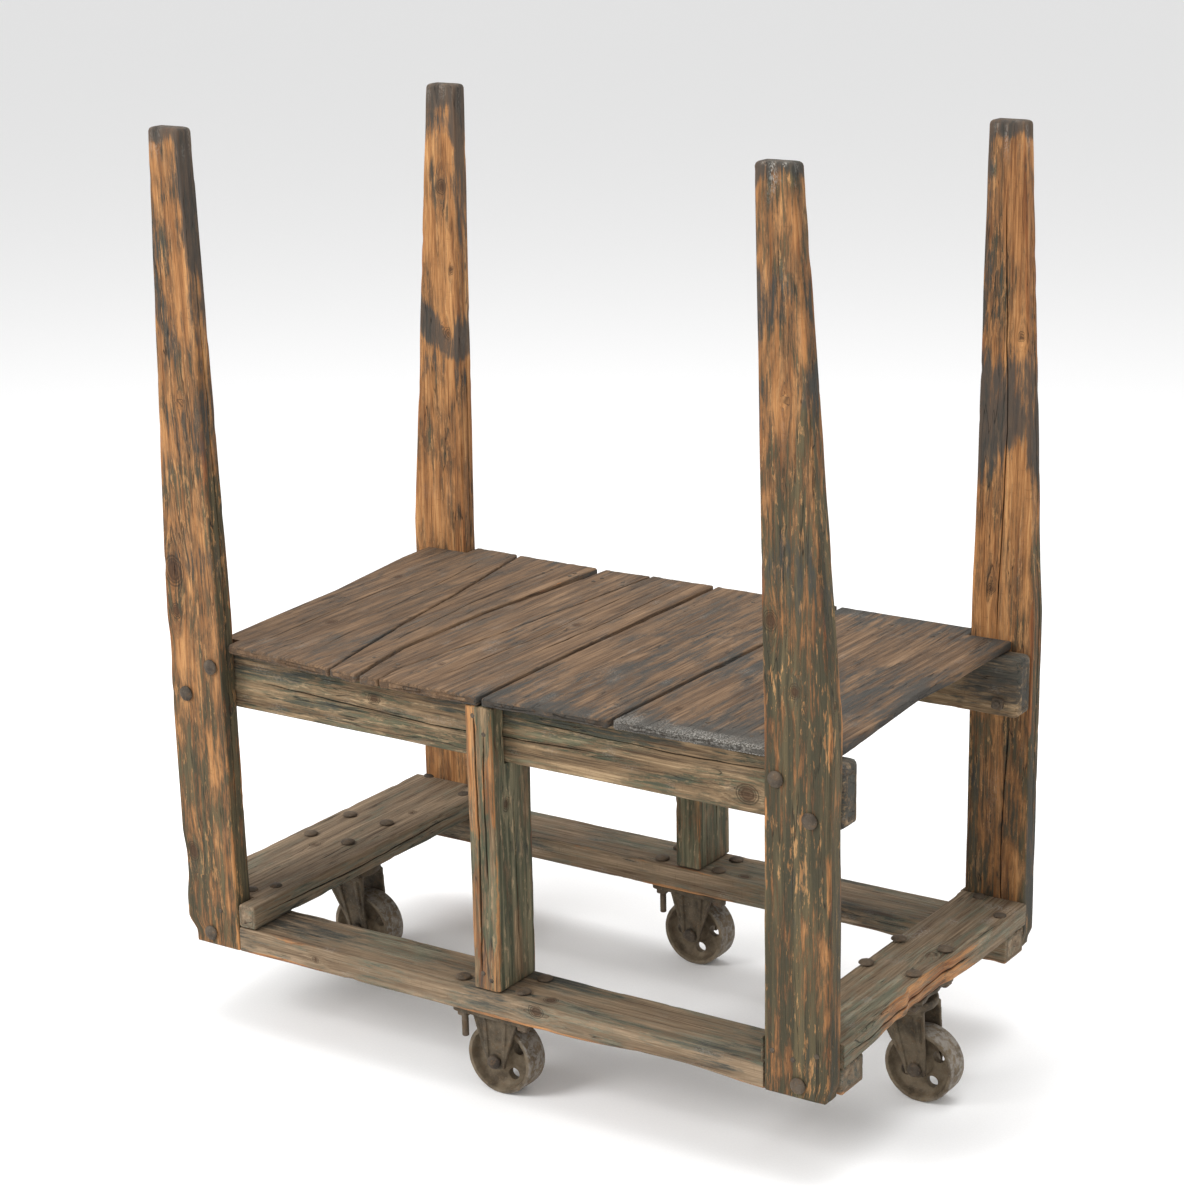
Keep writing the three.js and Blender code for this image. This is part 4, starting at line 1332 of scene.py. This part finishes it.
fork_parts = []
for side in (-1, 1):
    shapes = leg_shapes(crown_top - 10, 38, WHEEL_RADIUS, 2 - TRAIL, side)
    fork_parts += [(points + (TRAIL, 0, 0), faces) for points, faces in shapes]
fork_parts.append(lathe([(radius, crown_top - drop) for radius, drop in (
    (0, 13), (40, 13), (43, 12), (44.6, 9), (44.8, 4), (43.6, 1.2), (42, 0.2), (0, 0.2))], 72))
for side in (-1, 1):
    fork_parts.append(rounded_box(-34, 40, *slab_sides(side, 18, 28),
                                  crown_top - 17, crown_top - 10, 5))
fork = cast("fork_blank", fork_parts, seed=430)
for name in ("left", "right"):
    low, high = mm_box(f"{name}_swivel_plate")
    offset = (*((low + high) / 2)[:2], 0)
    plate = copy_of(swivel_plate.data, f"{name}_swivel_plate_iron", offset)
    stand_for(plate, f"{name}_swivel_plate", "frame")
    swivel_fork = copy_of(fork.data, f"{name}_swivel_fork_iron", offset)
    stand_for(swivel_fork, f"{name}_swivel_fork", f"{name}_swivel")
    low, high = mm_box(f"{name}_kingpin")
    long = high[2] - low[2]
    points, faces = lathe([(0, 0), (11.5, 0), (12.8, 1.2), (12.8, 6.5), (8, 7.5), (8, long - 4),
                           (12.8, long - 3), (12.8, long - 0.8), (0, long - 0.4)], 40)
    points = pitted(points, 0.15, 440, 4) + (offset[0], offset[1], low[2])
    piece = make_object(f"{name}_kingpin_iron", points, faces, bolt_iron, sharp=35)
    stand_for(piece, f"{name}_kingpin", "frame")
for spare in (swivel_plate, fork):
    bpy.data.objects.remove(spare)


# -------------------------------------------------------- nails and beam bolts
def small_heads(name, places):
    """Heads set in the wood; each is (x, y, z, outward, radius, proud)."""
    parts = []
    for k, (x, y, z, outward, radius, proud) in enumerate(places):
        crown = [(radius * math.cos(a), proud * (0.35 + 0.65 * math.sin(a)))
                 for a in np.radians((0, 30, 60))]
        head = lathe([(0, -6), (radius * 0.9, -6), *crown, (0, proud)], 18)
        head = (pitted(head[0], radius * 0.06, 500 + k, 3), head[1])
        parts.append(turned_to(head, outward, (x, y, z)))
    piece = make_object(name, *joined(parts), bolt_iron, sharp=45)
    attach(piece, "frame")


UP, OUT_FRONT, OUT_BACK = (0, 0, 1), (0, -1, 0), (0, 1, 0)
STRUT_LEFT = 501                     # the front strut's left face, along the cart
small_heads("beam_end_bolts", [
    (across(x), Y_FRONT + y, BEAM_TOP - 1.4, UP, 9.0, 4.2) for x, y in
    ((97, 81), (77, 52), (8, 560), (104, 520), (960, 62), (1030, 500), (975, 548))])
small_heads("post_nails", [
    *[(across(x), Y_FRONT + 1.0, z, OUT_FRONT, 3.6, 1.6) for x, z in
      ((63, 180), (988, 176), (958.5, 182), (1022, 188.5))],
    *[(across(x), Y_BACK - 1.0, z, OUT_BACK, 3.6, 1.6) for x, z in
      ((60, 178), (1000, 186), (30, 190))]])
small_heads("strut_nails", [
    (across(STRUT_LEFT + x), Y_FRONT + 1.6, z, OUT_FRONT, 3.4, 1.6) for x, z in
    ((14, 545), (30, 522), (16, 186), (29, 178))])
deck_places = []
for x in (110, 190, 262, 300, 352, 395, 470, 508, 548, 610, 690, 745, 830, 905, 985):
    for y in (46, 62, 528, 546):
        shift = 7.0 * float(noise(x * 0.37, y * 0.29, 0.5, 601))
        sink = 0.5 + 0.6 * float(noise(x * 0.53, y * 0.41, 1.5, 602))
        deck_places.append((across(x + shift), Y_FRONT + y + shift, DECK_TOP - 2.6 - sink,
                            UP, 3.3, 1.5))
small_heads("deck_nails", deck_places)


# ------------------------------------------------------------- floor and light
def make_floor():
    shader = Shader("floor")
    grain = shader.noise(shader.place(), 300, 3, 0.6)
    color = shader.ramp(grain, (0.3, (0.93, 0.93, 0.93)), (0.7, (0.97, 0.97, 0.97)))
    material = shader.finish(color, 0.7, grain, 0.05, 0.0005)
    bpy.ops.mesh.primitive_plane_add(size=60)
    floor = bpy.context.object
    floor.name = "floor"
    floor.data.materials.append(material)


def make_light(name, place, aim, size, power):
    data = bpy.data.lights.new(name, "AREA")
    data.shape = "RECTANGLE"
    data.size, data.size_y = size
    data.energy = power
    light = link(bpy.data.objects.new(name, data))
    light.location = place
    light.rotation_euler = (Vector(aim) - Vector(place)).to_track_quat("-Z", "Y").to_euler()


make_floor()
make_light("key", (-2.4, -3.8, 3.4), (0, 0, 0.6), (2.2, 2.2), 190)
make_light("fill", (3.8, -1.6, 2.0), (0, 0, 0.6), (2.6, 2.6), 12)
make_light("top", (0.2, 0.4, 4.4), (0, 0, 0.4), (3.4, 3.4), 130)
world = bpy.data.worlds.new("studio")
world.use_nodes = True
world.node_tree.nodes["Background"].inputs["Color"].default_value = (1, 1, 1, 1)
world.node_tree.nodes["Background"].inputs["Strength"].default_value = 0.8
bpy.context.scene.view_settings.view_transform = "Standard"
bpy.context.scene.world = world
